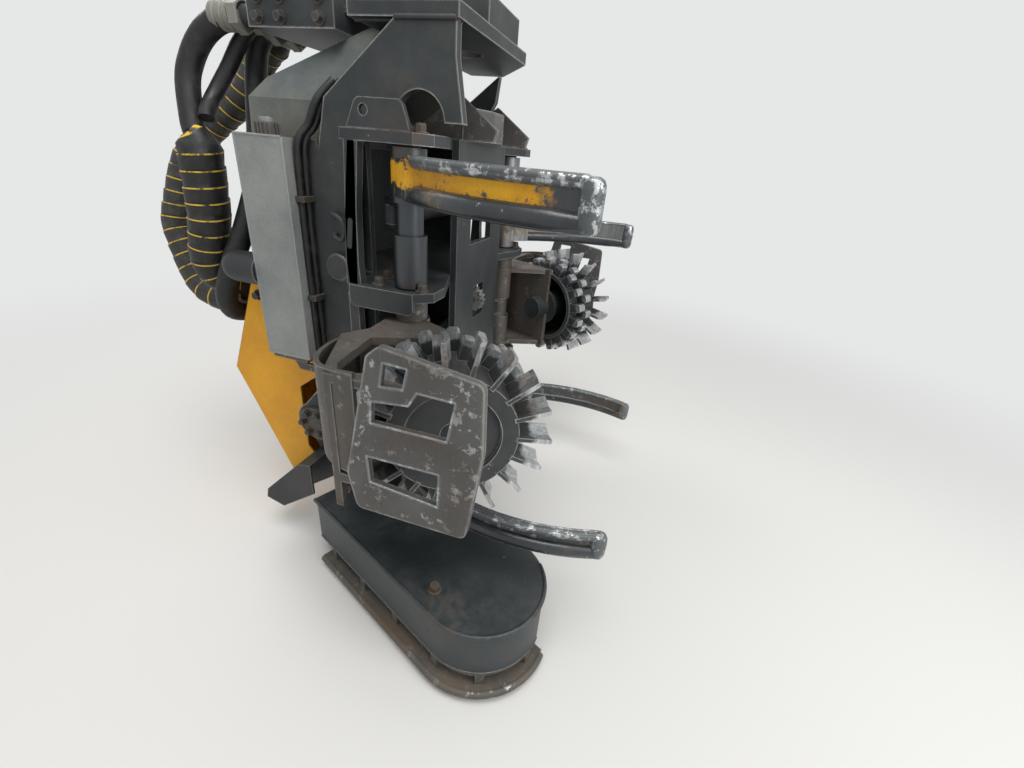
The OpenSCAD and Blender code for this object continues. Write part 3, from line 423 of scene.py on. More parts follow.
def worn_paint(name, paint, tint, steel="#8f8e8a", rust="#5c3a26", dust="#6b6152", edge=1.0, chips=0.3,
               rusty=0.4, dusty=0.4, gloss=0.45, edge_mm=5.0, extra_wear=None, streaks=0.3):
    made, tree, where = new_material(name)
    spot = where["Object"]
    facing = add(tree, "ShaderNodeNewGeometry").outputs["Normal"]
    clouds = noise(tree, spot, 5.0, detail=6.0, roughness=0.6)
    patches = noise(tree, spot, 38.0, detail=8.0, roughness=0.68)
    grit = noise(tree, spot, 420.0, detail=3.0)
    tall = add(tree, "ShaderNodeMapping", {"Vector": spot, "Scale": (90.0, 90.0, 5.0)}).outputs["Vector"]
    lines = noise(tree, tall, 1.0, detail=5.0, roughness=0.75)
    rounded = add(tree, "ShaderNodeBevel", {"Radius": edge_mm * MM}, samples=6).outputs["Normal"]
    same = between(tree, "DOT_PRODUCT", rounded, facing, "Value")
    bend = maths(tree, "SUBTRACT", 1.0, same)
    ragged = maths(tree, "MULTIPLY_ADD", patches, 0.16, bend)
    on_edge = ramp(tree, ragged, 0.115, 0.19, 0.0, edge)
    chipped = ramp(tree, patches, 0.74 - 0.22 * chips, 0.79 - 0.22 * chips)
    scratched = ramp(tree, lines, 0.73 - 0.12 * streaks, 0.80 - 0.1 * streaks, 0.0, 0.7 * streaks + 0.1)
    bare = capped(tree, "MAXIMUM", on_edge, capped(tree, "MAXIMUM", chipped, scratched))
    if extra_wear:
        bare = capped(tree, "MAXIMUM", bare, extra_wear(tree, spot, patches))
    coat = mixed(tree, ramp(tree, clouds, 0.3, 0.7), light_of(paint), light_of(tint))
    coat = mixed(tree, ramp(tree, grit, 0.35, 0.75, 0.0, 0.22), coat, light_of("#101010"))
    rust_here = capped(tree, "MULTIPLY", ramp(tree, clouds, 0.62 - 0.3 * rusty, 0.78 - 0.3 * rusty),
                       ramp(tree, patches, 0.35, 0.6))
    metal = mixed(tree, ramp(tree, lines, 0.3, 0.7, 0.0, 0.6), light_of(steel), light_of("#4c4a47"))
    metal = mixed(tree, rust_here, metal, light_of(rust))
    colour = mixed(tree, bare, coat, metal)
    stain = capped(tree, "MULTIPLY", rust_here, rusty)
    colour = mixed(tree, stain, colour, light_of(rust))
    up = add(tree, "ShaderNodeSeparateXYZ", {"Vector": facing}).outputs["Z"]
    lying = capped(tree, "MULTIPLY", ramp(tree, up, 0.2, 0.9, 0.25, 1.0), ramp(tree, clouds, 0.35, 0.65))
    lying = capped(tree, "MULTIPLY", capped(tree, "MULTIPLY", lying, ramp(tree, patches, 0.3, 0.6)), dusty)
    colour = mixed(tree, lying, colour, light_of(dust))
    dull = capped(tree, "ADD", rust_here, lying)
    metallic = capped(tree, "MULTIPLY", bare, ramp(tree, dull, 0.2, 0.8, 0.9, 0.0))
    of_paint, of_steel = MIX_NUMBERS
    rough = add(tree, "ShaderNodeMix", {"Factor": bare, of_paint: 1 - gloss, of_steel: 0.36}).outputs[0]
    dirty = capped(tree, "ADD", stain, lying)
    rough = capped(tree, "ADD", rough, ramp(tree, dirty, 0.0, 1.0, 0.0, 0.45))
    height = maths(tree, "MULTIPLY_ADD", bare, -0.35, grit)
    height = maths(tree, "MULTIPLY_ADD", patches, 0.8, height)
    bump = bumps(tree, height, 0.35, 0.0012)
    shader = add(tree, "ShaderNodeBsdfPrincipled", {"Base Color": colour, "Metallic": metallic,
                                                    "Roughness": rough, "Normal": bump})
    add(tree, "ShaderNodeOutputMaterial", {"Surface": shader.outputs[0]})
    return made


fork_paint = worn_paint("black_paint_on_fork_steel", "#23282a", "#343a3c", steel="#b5b5b1", edge=1.0,
                        chips=0.2, rusty=0.25, dusty=0.5, streaks=0.6, edge_mm=8)
head_paint = worn_paint("black_paint_on_head_steel", "#1b2023", "#2b3032", steel="#a9aaa8", dust="#55544f",
                        edge=1.0, chips=0.3, rusty=0.18, dusty=0.4, streaks=0.4, gloss=0.5)
grey_paint = worn_paint("grey_paint_on_sheet", "#767b7a", "#939693", steel="#b4b5b2", edge=0.9, chips=0.12,
                        rusty=0.1, dusty=0.3, streaks=0.15, gloss=0.5, edge_mm=4)
cover_paint = worn_paint("grey_paint_on_bent_cover", "#4d5557", "#77796f", steel="#9a9b98", edge=0.9,
                         chips=0.22, rusty=0.3, dusty=0.6, streaks=0.35)
yellow_sheet = worn_paint("yellow_paint_on_cover", "#f2ae0c", "#e59f08", steel="#6f6a60", rust="#6b4016",
                          dust="#8a6a2a", edge=0.6, chips=0.0, rusty=0.12, dusty=0.3, streaks=0.1, gloss=0.5)
print("materials so far:", len(bpy.data.materials))

# %% [markdown]
# ## Steel that wood keeps bright
# Knives, rollers, guards and the saw bar have lost nearly all their paint. The steel is dark and
# brown where dirt and resin stay and bright where wood rubs it, which is on edges and on what
# stands out furthest. The same recipe with hardly any paint left gives them.

# %% Rubbed steel


def tooth_tips(side):
    """Bright where a point of the roller is far from its axis."""
    mid = place(0, 555 * side, 0)
    lean = math.radians(64)
    axis = Vector((math.cos(lean), math.sin(lean) * side, 0))

    def wear(tree, spot, patches):
        off_axis = between(tree, "CROSS_PRODUCT", between(tree, "SUBTRACT", spot, mid), axis)
        away = between(tree, "LENGTH", off_axis, result="Value")
        ragged = ramp(tree, patches, 0.3, 0.7, -0.008, 0.008)
        return ramp(tree, capped(tree, "ADD", away, ragged), 0.178, 0.193)
    return wear


def rubbed_rims(low, high, tip_x):
    """Bright on a blade's two rims and at its tip; paint stays in the hollow between."""
    def wear(tree, spot, patches):
        xyz = add(tree, "ShaderNodeSeparateXYZ", {"Vector": spot})
        ragged = ramp(tree, patches, 0.3, 0.7, -0.02, 0.02)
        tall = maths(tree, "ADD", xyz.outputs["Z"], ragged)
        above = ramp(tree, tall, high - 0.012, high - 0.004)
        below = ramp(tree, tall, low + 0.034, low + 0.026)
        along = maths(tree, "ADD", xyz.outputs["X"], ragged)
        tip = ramp(tree, along, tip_x - 0.10, tip_x - 0.06)
        return capped(tree, "MAXIMUM", tip, capped(tree, "MAXIMUM", above, below))
    return wear


near_blade_z, far_blade_z, upper_tall = 461, 269, 90
near_rims = rubbed_rims(place(0, 0, near_blade_z).z, place(0, 0, near_blade_z + upper_tall).z, 0.50)
far_rims = rubbed_rims(place(0, 0, far_blade_z).z, place(0, 0, far_blade_z + upper_tall).z, 0.30)
knife_paint = worn_paint("yellow_paint_on_near_knife", "#efb415", "#dc9a10", steel="#4d5358", edge=0.9,
                         chips=0.62, rusty=0.3, dusty=0.3, streaks=0.5, extra_wear=near_rims)
far_knife_paint = worn_paint("yellow_paint_on_far_knife", "#8a7a52", "#4f4b43", steel="#8d8f90", edge=1.0,
                             chips=0.9, rusty=0.3, dusty=0.3, streaks=0.6, extra_wear=far_rims)
low_knife_steel = worn_paint("rubbed_steel_of_low_knives", "#3c4042", "#4d4f4e", steel="#b0b3b4",
                             rust="#4a3220", edge=1.0, chips=0.9, rusty=0.45, dusty=0.3, streaks=0.7,
                             gloss=0.6, edge_mm=9)
arm_steel = worn_paint("scraped_steel_of_roller_arm", "#47443f", "#56504a", steel="#98958e", rust="#4a3022",
                       dust="#504c47", edge=1.0, chips=0.75, rusty=0.35, dusty=0.45, streaks=0.6, gloss=0.5,
                       edge_mm=9)
guard_steel = worn_paint("scraped_steel_of_guard", "#5a5a58", "#474543", steel="#b4b4b1", rust="#4a3a2e",
                         dust="#4c4844", edge=1.0, chips=0.8, rusty=0.35, dusty=0.4, streaks=0.7, gloss=0.55,
                         edge_mm=10)
near_roller_steel, far_roller_steel = (
    worn_paint("cast_steel_of_" + name + "_roller", "#2c2f31", "#3c3e3f", steel="#d5d8da", rust="#4a3424",
               edge=0.8, chips=0.35, rusty=0.35, dusty=0.3, streaks=0.2, extra_wear=tooth_tips(side))
    for side, name in SIDES)
saw_box_paint = worn_paint("black_paint_on_saw_box", "#20272a", "#30383b", steel="#a09c92", rust="#6a4424",
                           dust="#4b4c49", edge=1.0, chips=0.3, rusty=0.28, dusty=0.35, streaks=0.25,
                           edge_mm=9, gloss=0.55)
ring_steel = worn_paint("scraped_steel_of_saw_guard", "#4a4843", "#5b564c", steel="#a3a19b", edge=1.0,
                        chips=0.8, rusty=0.5, dusty=0.4, streaks=0.5, edge_mm=8)
bar_steel = worn_paint("ground_steel_of_saw_bar", "#6b6b6a", "#7c7c7a", steel="#b5b7b8", edge=1.0, chips=0.9,
                       rusty=0.15, dusty=0.1, streaks=0.8, gloss=0.6, edge_mm=3)
pin_steel = worn_paint("turned_steel_of_pins", "#4a4744", "#5a554f", steel="#9b9a97", edge=1.0, chips=0.6,
                       rusty=0.6, dusty=0.4, streaks=0.2, edge_mm=4)
print("materials so far:", len(bpy.data.materials))

# %% [markdown]
# ## Hard chrome on the rods
# A cylinder's rod is ground and hard chromed, so it is the one bright smooth thing on the head.
# It carries a thin film of oil and a little dust, which a slow noise in the roughness gives.

# %% Chrome
chrome, tree, where = new_material("hard_chrome_on_rods")
film = noise(tree, where["Object"], 30.0, detail=5.0)
shine = mixed(tree, ramp(tree, film, 0.5, 0.75), light_of("#c9cbcd"), light_of("#8a8378"))
shader = add(tree, "ShaderNodeBsdfPrincipled", {"Base Color": shine, "Metallic": 1.0,
                                                "Roughness": ramp(tree, film, 0.35, 0.75, 0.12, 0.38)})
add(tree, "ShaderNodeOutputMaterial", {"Surface": shader.outputs[0]})
print("chrome nodes:", len(tree.nodes))

# %% [markdown]
# ## Which finish goes where
# A node keeps its mesh and only its material is changed.

# %% Finishes on the solids
finishes = {
    fork_paint: ["mount_block", "fork_near", "fork_far", "fork_deck", "fork_rear_box", "manifold",
                 "tilt_barrel"],
    cover_paint: ["hose_cover"],
    grey_paint: ["tank"],
    head_paint: ["head_frame", "hose_entry", "tilt_lug", "saw_motor", "back_hood", "accumulator",
                 "motor_near", "motor_far", "upper_barrel", "roller_barrel", "lower_barrel", "measure_arm"],
    yellow_sheet: ["near_cover", "far_cover"],
    knife_paint: ["upper_knife_near"],
    far_knife_paint: ["upper_knife_far"],
    low_knife_steel: ["lower_knife_near", "lower_knife_far"],
    arm_steel: ["roller_arm_near", "roller_arm_far", "tank_bracket"],
    guard_steel: ["guard_near", "guard_far", "fixed_knife"],
    near_roller_steel: ["feed_roller_near"],
    far_roller_steel: ["feed_roller_far"],
    saw_box_paint: ["saw_box"],
    ring_steel: ["saw_guard"],
    bar_steel: ["saw_bar", "measure_wheel"],
    pin_steel: ["near_pins", "far_pins", "hinge_pins"],
    chrome: ["tilt_rod", "upper_rod", "roller_rod", "lower_rod"],
}
for finish, names in finishes.items():
    for name in names:
        nodes[name].data.materials.clear()
        nodes[name].data.materials.append(finish)
print("nodes with a finish:", sum(len(n) for n in finishes.values()))

# %% [markdown]
# ## Bolts
# Every loose cover and cap is held by hex bolts on washers. They are all one shape, so a small
# Geometry Nodes tree puts a bolt on each point of a mesh, turned to the way that the point faces.
# The tree's inputs are the bolt's sizes, and its result is turned into plain mesh, because the
# export doesn't carry instances. A bolt is a hex head, a washer under it and a short round nose on
# top, all as shares of the head's width and height.

# %% A tree that sets bolts on points
bolt_tree = bpy.data.node_groups.new("bolts_on_points", "GeometryNodeTree")
for title, kind in (("Points", "NodeSocketGeometry"), ("Head width", "NodeSocketFloat"),
                    ("Head height", "NodeSocketFloat"), ("Finish", "NodeSocketMaterial")):
    bolt_tree.interface.new_socket(title, in_out="INPUT", socket_type=kind)
bolt_tree.interface.new_socket("Bolts", in_out="OUTPUT", socket_type="NodeSocketGeometry")
given = add(bolt_tree, "NodeGroupInput").outputs
joined = add(bolt_tree, "GeometryNodeJoinGeometry")
for corners, wide, tall, lift in ((6, 0.577, 1.0, 0.75), (20, 0.78, 0.3, 0.1), (20, 0.48, 0.3, 1.3)):
    radius = maths(bolt_tree, "MULTIPLY", given["Head width"], wide)
    depth = maths(bolt_tree, "MULTIPLY", given["Head height"], tall)
    solid = add(bolt_tree, "GeometryNodeMeshCylinder",
                {"Vertices": corners, "Radius": radius, "Depth": depth})
    raised = maths(bolt_tree, "MULTIPLY", given["Head height"], lift)
    at = add(bolt_tree, "ShaderNodeCombineXYZ", {"Z": raised}).outputs[0]
    moved = add(bolt_tree, "GeometryNodeTransform", {"Geometry": solid.outputs[0], "Translation": at})
    bolt_tree.links.new(moved.outputs[0], joined.inputs[0])
facing = add(bolt_tree, "GeometryNodeInputNamedAttribute", data_type="FLOAT_VECTOR")
facing.inputs["Name"].default_value = "facing"
turned = add(bolt_tree, "FunctionNodeAlignEulerToVector", {"Vector": facing.outputs[0]}, axis="Z").outputs[0]
placed = add(bolt_tree, "GeometryNodeInstanceOnPoints",
             {"Points": given["Points"], "Instance": joined.outputs[0], "Rotation": turned}).outputs[0]
real = add(bolt_tree, "GeometryNodeRealizeInstances", {"Geometry": placed}).outputs[0]
coated = add(bolt_tree, "GeometryNodeSetMaterial", {"Geometry": real, "Material": given["Finish"]}).outputs[0]
add(bolt_tree, "NodeGroupOutput", {"Bolts": coated})
sockets = bolt_tree.interface.items_tree
bolt_inputs = {item.name: item.identifier for item in sockets if item.in_out == "INPUT"}
height_by_width = 0.62


def bolts(name, spots, width, finish, body):
    """Bolts at places in the stem's millimetres, each with the way it faces."""
    mesh = bpy.data.meshes.new(name + "_points")
    mesh.from_pydata([place(*at) for at, way in spots], [], [])
    ways = mesh.attributes.new("facing", "FLOAT_VECTOR", "POINT")
    ways.data.foreach_set("vector", [v for at, way in spots for v in Vector(way).normalized()])
    carrier = put_in_scene(name + "_points", mesh)
    modifier = carrier.modifiers.new("bolts", "NODES")
    modifier.node_group = bolt_tree
    modifier[bolt_inputs["Head width"]] = width * MM
    modifier[bolt_inputs["Head height"]] = width * height_by_width * MM
    modifier[bolt_inputs["Finish"]] = finish
    ready = bpy.data.meshes.new_from_object(carrier.evaluated_get(bpy.context.evaluated_depsgraph_get()))
    bpy.data.objects.remove(carrier)
    ready.name = name
    piece = put_in_scene(name, ready)
    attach(piece, body)
    print(name, len(spots), "bolts")


bolt_steel = worn_paint("blackened_steel_of_bolts", "#2e2c29", "#45403a", steel="#9c9a94", rust="#55361f",
                        edge=1.0, chips=0.5, rusty=0.45, dusty=0.6, streaks=0.1, edge_mm=2)

# %% [markdown]
# ## Where the bolts are
# The hinge caps, the hood, the block of valves, the yellow covers and the pins' keepers are bolted
# on. Each hinge cap has a ring of six, each cover has five, and the saw box has one.

# %% Bolts on the frame and the head
hinge_x, hinge_z, cap_y, cap_ring = -585, -280, 367.5, 40
cover_y, frame_y, deck_levels = 322.3, 305.3, (600, 245)
saw_box_top = -504.8
up, towards_near = (0, 0, 1), (0, -1, 0)
frame_spots = [((hinge_x + cap_ring * c, s * cap_y, hinge_z + cap_ring * d), (0, s, 0))
               for c, d in circle_of(6) for s in (NEAR, FAR)]
frame_spots += [((x, -325.2, 545), towards_near) for x in (-670, -600, -530, -460, -400)]
frame_spots += [((x, y, 885.1), up) for x in (-665, -565, -465) for y in (-265, -45)]
frame_spots += [((x, -290.1, z), towards_near) for x in (-655, -590, -480) for z in (825, 865)]
frame_spots += [((x, y, 857.5), up) for x in (-415, -325) for y in (-230, -150)]
bolts("frame_bolts", frame_spots, 19, bolt_steel, "root")

on_covers = ((-575, 40), (-660, 100), (-770, 120), (-700, -560), (-640, -480))
on_decks = ((-285, 400), (-160, 400), (-300, 330), (-250, 300))
on_plates = ((-500, 470), (-400, 560), (-500, 250), (-400, 150), (-500, -60), (-400, -120), (-420, -440),
             (-520, -430))
head_spots = [((x, s * cover_y, z), (0, s, 0)) for x, z in on_covers for s in (NEAR, FAR)]
head_spots += [((x, s * y, z + 0.2), up) for x, y in on_decks for z in deck_levels for s in (NEAR, FAR)]
head_spots += [((x, s * frame_y, z), (0, s, 0)) for x, z in on_plates for s in (NEAR, FAR)]
bolts("head_bolts", head_spots, 22, bolt_steel, "head")
bolts("saw_box_bolts", [((0, -645, saw_box_top), up)], 24, bolt_steel, "head")

# %% [markdown]
# ## Hose fittings
# A hose ends in a steel sleeve squeezed on it and a hex nut that screws to the port. The sleeve
# is a lathe's work with two grooves, and the nut is the same ring function with six sides.

# %% Fittings


def fitting(start, way, hose_radius):
    """A nut and a grooved sleeve: distances from the port, and radii as shares of the hose's."""
    way = np.array(way) / np.linalg.norm(way)
    start = np.array(start, dtype=float)

    def turned(marks, size, around):
        return rings([start + way * m for m, r in marks], [size * r for m, r in marks], around)
    nut = turned([(0, 0.9), (2, 1), (26, 1), (29, 0.9)], hose_radius * 1.32, 6)
    sleeve = turned([(28, 0.8), (31, 1), (44, 1), (46, 0.93), (50, 0.93), (52, 1), (66, 1), (68, 0.93),
                     (72, 0.93), (74, 1), (88, 1), (91, 0.95)], hose_radius * 1.12, 28)
    return [nut, sleeve]


plated = worn_paint("zinc_plated_fittings", "#8b8a80", "#77756c", steel="#b9b9b2", rust="#6b4a2c", edge=1.0,
                    chips=0.5, rusty=0.35, dusty=0.5, streaks=0.1, edge_mm=2)
top_parts, low_parts = [], []
manifold_x, manifold_z, entry_x, entry_z = -731, 835, -570, 150
for y, r in ((-252, 30), (-195, 21), (-135, 30), (-60, 30)):
    top_parts += fitting((manifold_x, y, manifold_z), (-1, -0.04, -0.03), r)
for y in (-190, -125, 150):
    low_parts += fitting((entry_x, y, entry_z), (0, 0, 1), 30)
made_piece("top_fittings", top_parts, plated, "root", 25)
made_piece("low_fittings", low_parts, plated, "head", 25)

# %% [markdown]
# ## Rolled rims on the knives
# A knife is a bent channel with a bar welded along each edge. Wood slides on the upper one and
# polishes it. The lower one is thick, dark and round. Each is a rod along the blade's arc, and a
# round nose closes the tip. The arc goes from root to tip and stands off their chord by its sag.

# %% Knife rims
rim_steel = worn_paint("polished_rim_of_knives", "#4c5154", "#626769", steel="#cdd1d4", rust="#6a4a28",
                       edge=1.0, chips=0.95, rusty=0.12, dusty=0.2, streaks=0.8, gloss=0.6, edge_mm=4)
dark_rim = worn_paint("dark_rim_of_knives", "#25292c", "#3a3f42", steel="#a7adb2", rust="#b58418", edge=0.6,
                      chips=0.5, rusty=0.25, dusty=0.15, streaks=0.7, gloss=0.8)


blade_points = 48


def arc_points(root, tip, sag, outwards, z, side, share=(0.0, 1.0), count=blade_points):
    a, b = np.array(root, dtype=float), np.array(tip, dtype=float)
    span = np.linalg.norm(b - a)
    r = ((span / 2) ** 2 + sag ** 2) / (2 * sag)
    c = (a + b) / 2 + (r - sag) * np.array((-(b - a)[1], (b - a)[0])) / span
    first, last = (math.atan2(*(p - c)[::-1]) for p in (a, b))
    turns = first + (last - first) * np.linspace(share[0], share[1], count)
    reach = r + outwards
    return [(c[0] + reach * math.cos(t), side * -(c[1] + reach * math.sin(t)), z) for t in turns]


blade_root, upper_tip, lower_tip, lower_tall = (-175, -405), (262, -590), (395, -468), 76
knives = (("upper_knife_near", upper_tip, 55, near_blade_z, upper_tall, NEAR),
          ("upper_knife_far", upper_tip, 55, far_blade_z, upper_tall, FAR),
          ("lower_knife_near", lower_tip, 70, -376, lower_tall, NEAR),
          ("lower_knife_far", lower_tip, 70, -470, lower_tall, FAR))
narrow_ends = np.ones(blade_points)
narrow_ends[[0, -1]] = 0.55
thick = np.interp(np.linspace(0, 1, blade_points), (0.0, 0.1, 0.85, 1.0), (12, 21, 21, 15))
nose_r = (9, 17, 21, 22, 22, 21, 17, 9)
for name, tip, sag, low_z, tall, side in knives:
    top_z = low_z + tall
    bright = []
    for outwards, drop, radius, around in ((20, 4, 7.5, 12), (1, 1, 4, 10), (13, 8, 13, 14)):
        line = arc_points(blade_root, tip, sag, outwards, top_z - drop, side, (0.08, 1.0))
        bright.append(rings(line, radius * narrow_ends, around))
    end_x, end_y, _ = arc_points(blade_root, tip, sag, 13, low_z, side)[-1]
    nose_z = (low_z - 2, low_z + 2, low_z + 10, low_z + 22, top_z - 22, top_z - 10, top_z - 2, top_z + 2)
    bright.append(rings([(end_x, end_y, z) for z in nose_z], nose_r, 24))
    made_piece(name + "_lip", bright, rim_steel, name)
    lower = arc_points(blade_root, tip, sag, 12, low_z + 17, side, (0.05, 1.0))
    made_piece(name + "_rim", [rings(lower, thick, 18)], dark_rim, name)

# %% [markdown]
# ## The brackets round the upper knife's pin
# A heavy lug with a lifting hole stands on the top deck, and a slanted rib with a long slot ties
# it to the deck below, whose outer edge is turned down. A hose hook and a round boss sit on the
# frame's plate beside it.

# %% Brackets


def slab(outline, holes, y0, y1):
    """A plate in the XZ plane with holes, each a list of points, from y0 to y1."""
    lines = [outline] + holes
    flat = [point for line in lines for point in line]
    fill = tessellate_polygon([[(x, z, 0) for x, z in line] for line in lines])
    faces = [tuple(f) for f in fill] + [tuple(i + len(flat) for i in reversed(f)) for f in fill]
    start = 0
    for line in lines:
        edge = list(range(start, start + len(line)))
        for i, j in zip(edge, edge[1:] + [start]):
            faces.append((i, j, j + len(flat), i + len(flat)))
        start += len(line)
    return [(x, y0, z) for x, z in flat] + [(x, y1, z) for x, z in flat], faces


def round_hole(x, z, r):
    return [(x + r * c, z + r * d) for c, d in circle_of(20)]


def slot_hole(x, z, r, tall, lean):
    """Two half circles, tall apart; the upper one leans forward by that share of the height."""
    angles = np.linspace(0, math.pi, 9)
    half = [(r * math.cos(a) + lean * tall / 2, r * math.sin(a) + tall / 2) for a in angles]
    return [(x + u, z + v) for u, v in half] + [(x - u, z - v) for u, v in half]


lug = [(-330, 600.4), (-306, 652), (-296, 660), (-196, 660), (-186, 650), (-170, 600.4)]
turned_edge = [(-348, 246), (-348, 200), (-338, 190), (-176, 190), (-166, 200), (-166, 246)]
rib = [(-352, 245.5), (-356, 300), (-350, 420), (-330, 574.5), (-304, 574.5), (-318, 430), (-322, 300),
       (-318, 245.5)]
bracket_plates = ((lug, [round_hole(-284, 636, 11)], 419, 431), (turned_edge, [], 430.5, 441),
                  (rib, [slot_hole(-341, 370, 7, 60, 0.12)], 405, 430))
brackets = [slab(outline, holes, side * inner, side * outer)
            for outline, holes, inner, outer in bracket_plates for side in (NEAR, FAR)]
made_piece("head_brackets", brackets, head_paint, "head", 30)
hook_rows = [(-440, -355, 395), (-436, -366, 398), (-415, -374, 396), (-398, -376, 380),
             (-398, -376, 352), (-412, -374, 338), (-434, -366, 342), (-440, -355, 348)]
hook = smooth_route(hook_rows, 5)
boss = rings([(-432, y, 262) for y in (-354, -358, -369, -372)], [38, 38, 38, 34], 32)
made_piece("hose_hook_and_boss", [rings(hook, 6.5, 12), boss], fork_paint, "root")

# %% [markdown]
# ## Pipes in the frame's channel
# Two thin hoses come off the hood and run down between the tank and the frame's plate, held by two
# clamps, to the saw and the measuring wheel.

# %% Channel hoses
down_line = [(-430, -300, 700), (-455, -336, 655), (-480, -345, 600), (-498, -366, 560), (-506, -366, 450),
             (-508, -366, 300), (-508, -366, 100), (-506, -366, -60)]
lane_width, channel_r, clamp_half = 18, 9, 7
channel = []
for lane in (0, lane_width):
    route = smooth_route([(x - lane / 3, y - lane, z, 0) for x, y, z in down_line], 14)
    channel.append(rings(route, channel_r, 14))
made_piece("channel_hoses", channel, bare_rubber, "root")
clamps = []
for z in (430, 170):
    low, high = z - clamp_half, z + clamp_half
    clamps.append(slab([(-522, low), (-492, low), (-492, high), (-522, high)], [], -398, -354))
made_piece("channel_clamps", clamps, bolt_steel, "root")

# %% [markdown]
# ## The folded shell beside the guard
# The roller arm's cover is one heavy plate: it starts at the guard, rolls back round the arm and
# ends at its rear wall. Here it is a strip between two curves a plate's thickness apart, so the
# fold is smooth and its edges can wear. Each row has a place on the curve, then the plate's low and
# high edge there. The guard's windows get a thin bright rim where wood has rubbed their edges.

# %% Arm shells and window rims


def folded_sheet(line, low_z, high_z, thick):
    """A sheet that stands on a curved line; the low and high edges are given along it."""
    line = np.array(line)
    along = np.gradient(line, axis=0)
    along /= np.linalg.norm(along, axis=1)[:, None]
    off = np.stack([-along[:, 1], along[:, 0]], axis=1) * thick
    points, faces = [], []
    for (x, y), (dx, dy), z0, z1 in zip(line, off, low_z, high_z):
        points += [(x, y, z0), (x, y, z1), (x + dx, y + dy, z1), (x + dx, y + dy, z0)]
    for i in range(len(line) - 1):
        a, b = i * 4, i * 4 + 4
        faces += [(a + k, b + k, b + (k + 1) % 4, a + (k + 1) % 4) for k in range(4)]
    last = len(points) - 4
    return points, faces + [(0, 1, 2, 3), (last + 3, last + 2, last + 1, last)]


shell_rows = [(-121, -761, -70, 176), (-160, -760, -66, 174), (-205, -748, -62, 170), (-240, -722, -60, 166),
              (-266, -684, -62, 162), (-282, -636, -70, 160), (-288, -590, -84, 158), (-286, -560, -90, 156)]
shell = smooth_route(shell_rows, 12)
shell_thick, guard_x, guard_y, window_rim_r = 11, -142.9, 774.2, 2.6
windows = [[(100, 222), (150, 220), (140, 176), (91, 172)],
           [(70, 136), (150, 145), (168, 176), (245, 174), (229, 86), (66, 86)],
           [(52, 4), (214, 6), (211, -78), (56, -62)]]
for side, name in SIDES:
    line = [(x, -side * y) for x, y in shell[:, :2]]
    sheet = folded_sheet(line, shell[:, 2], shell[:, 3], shell_thick * side)
    made_piece("arm_shell_" + name, [sheet], arm_steel, "roller_arm_" + name, 40)
    rims = []
    for window in windows:
        corners = [(guard_x + u, side * guard_y, v) for u, v in window]
        for pair in zip(corners, corners[1:] + corners[:1]):
            rims.append(rings(pair, window_rim_r, 8))
    made_piece("window_rims_" + name, rims, rim_steel, "roller_arm_" + name)

# %% [markdown]
# ## Weld beads
# The frame is plate welded to plate. A bead is a thin rod in the corner, whose radius swells and
# shrinks every few millimetres as the welder's hand paused.

# %% Welds
bead_steel = worn_paint("weld_beads_under_paint", "#2c3032", "#3b3a36", steel="#84827c", edge=0.8,
                        chips=0.35, rusty=0.5, dusty=0.5, streaks=0.1, edge_mm=2)


def bead(*corners):
    """A wavy rod through the corners."""
    bead_r, bead_step = 6.0, 5
    route = []
    for a, b in zip(corners, corners[1:]):
        a, b = np.array(a, dtype=float), np.array(b, dtype=float)
        count = max(3, int(np.linalg.norm(b - a) / bead_step))
        route += [a + (b - a) * t for t in np.arange(count) / count]
    route.append(np.array(corners[-1], dtype=float))
    radii = bead_r * (0.85 + 0.18 * np.abs(np.sin(np.arange(len(route)) * 1.9)))
    return rings(route, radii, 8)


frame_beads = [bead((-245, -355, 815), (-100, -355, 815)), bead((-358, -330, 815), (-100, -330, 815)),
               bead((-120, -120, 845), (-360, -120, 845)), bead((-120, 120, 845), (-360, 120, 845)),
               bead((-120, -120, 845), (-120, 120, 845)),
               bead((-690, -330, 400), (-600, -330, 400)), bead((-690, -330, 510), (-600, -330, 510))]
head_beads, plate_y = [], 305
for side in (NEAR, FAR):
    for z, back_x in ((600, -470), (245, -538), (-180, -538), (-480, -538)):
        for low, far_x in ((0, back_x), (25, -470)):
            head_beads.append(bead((-365, side * plate_y, z - low), (far_x, side * plate_y, z - low)))
made_piece("frame_welds", frame_beads, bead_steel, "root", 60)
made_piece("head_welds", head_beads, bead_steel, "head", 60)

# %% [markdown]
# ## Saw box rim and foot
# The saw box's top plate has a rounded rim where it was flanged, its wall has a bead at its foot,
# and the guard under it has a thick round edge that wood and stones have rubbed. All three follow
# the box: a straight side, then a half round nose. The box is drawn on its own axes, turned about
# the saw's pin.

# %% Saw box
saw_pin_x, saw_pin_y = -440, -315
saw_turn = math.radians(-24)
saw_cos, saw_sin = math.cos(saw_turn), math.sin(saw_turn)
box_long, box_half, guard_half = 600, 178, 199


def by_saw(x, y, z):
    return (saw_pin_x + x * saw_cos - y * saw_sin, saw_pin_y + x * saw_sin + y * saw_cos, z)


def nose_line(half, last_degrees):
    angles = np.linspace(-math.pi / 2, math.radians(last_degrees), 40)
    return [(box_long + half * math.cos(a), half * math.sin(a)) for a in angles]


def saw_bead(line, z, radius, around):
    return rings([by_saw(x, y, z) for x, y in line], radius, around)


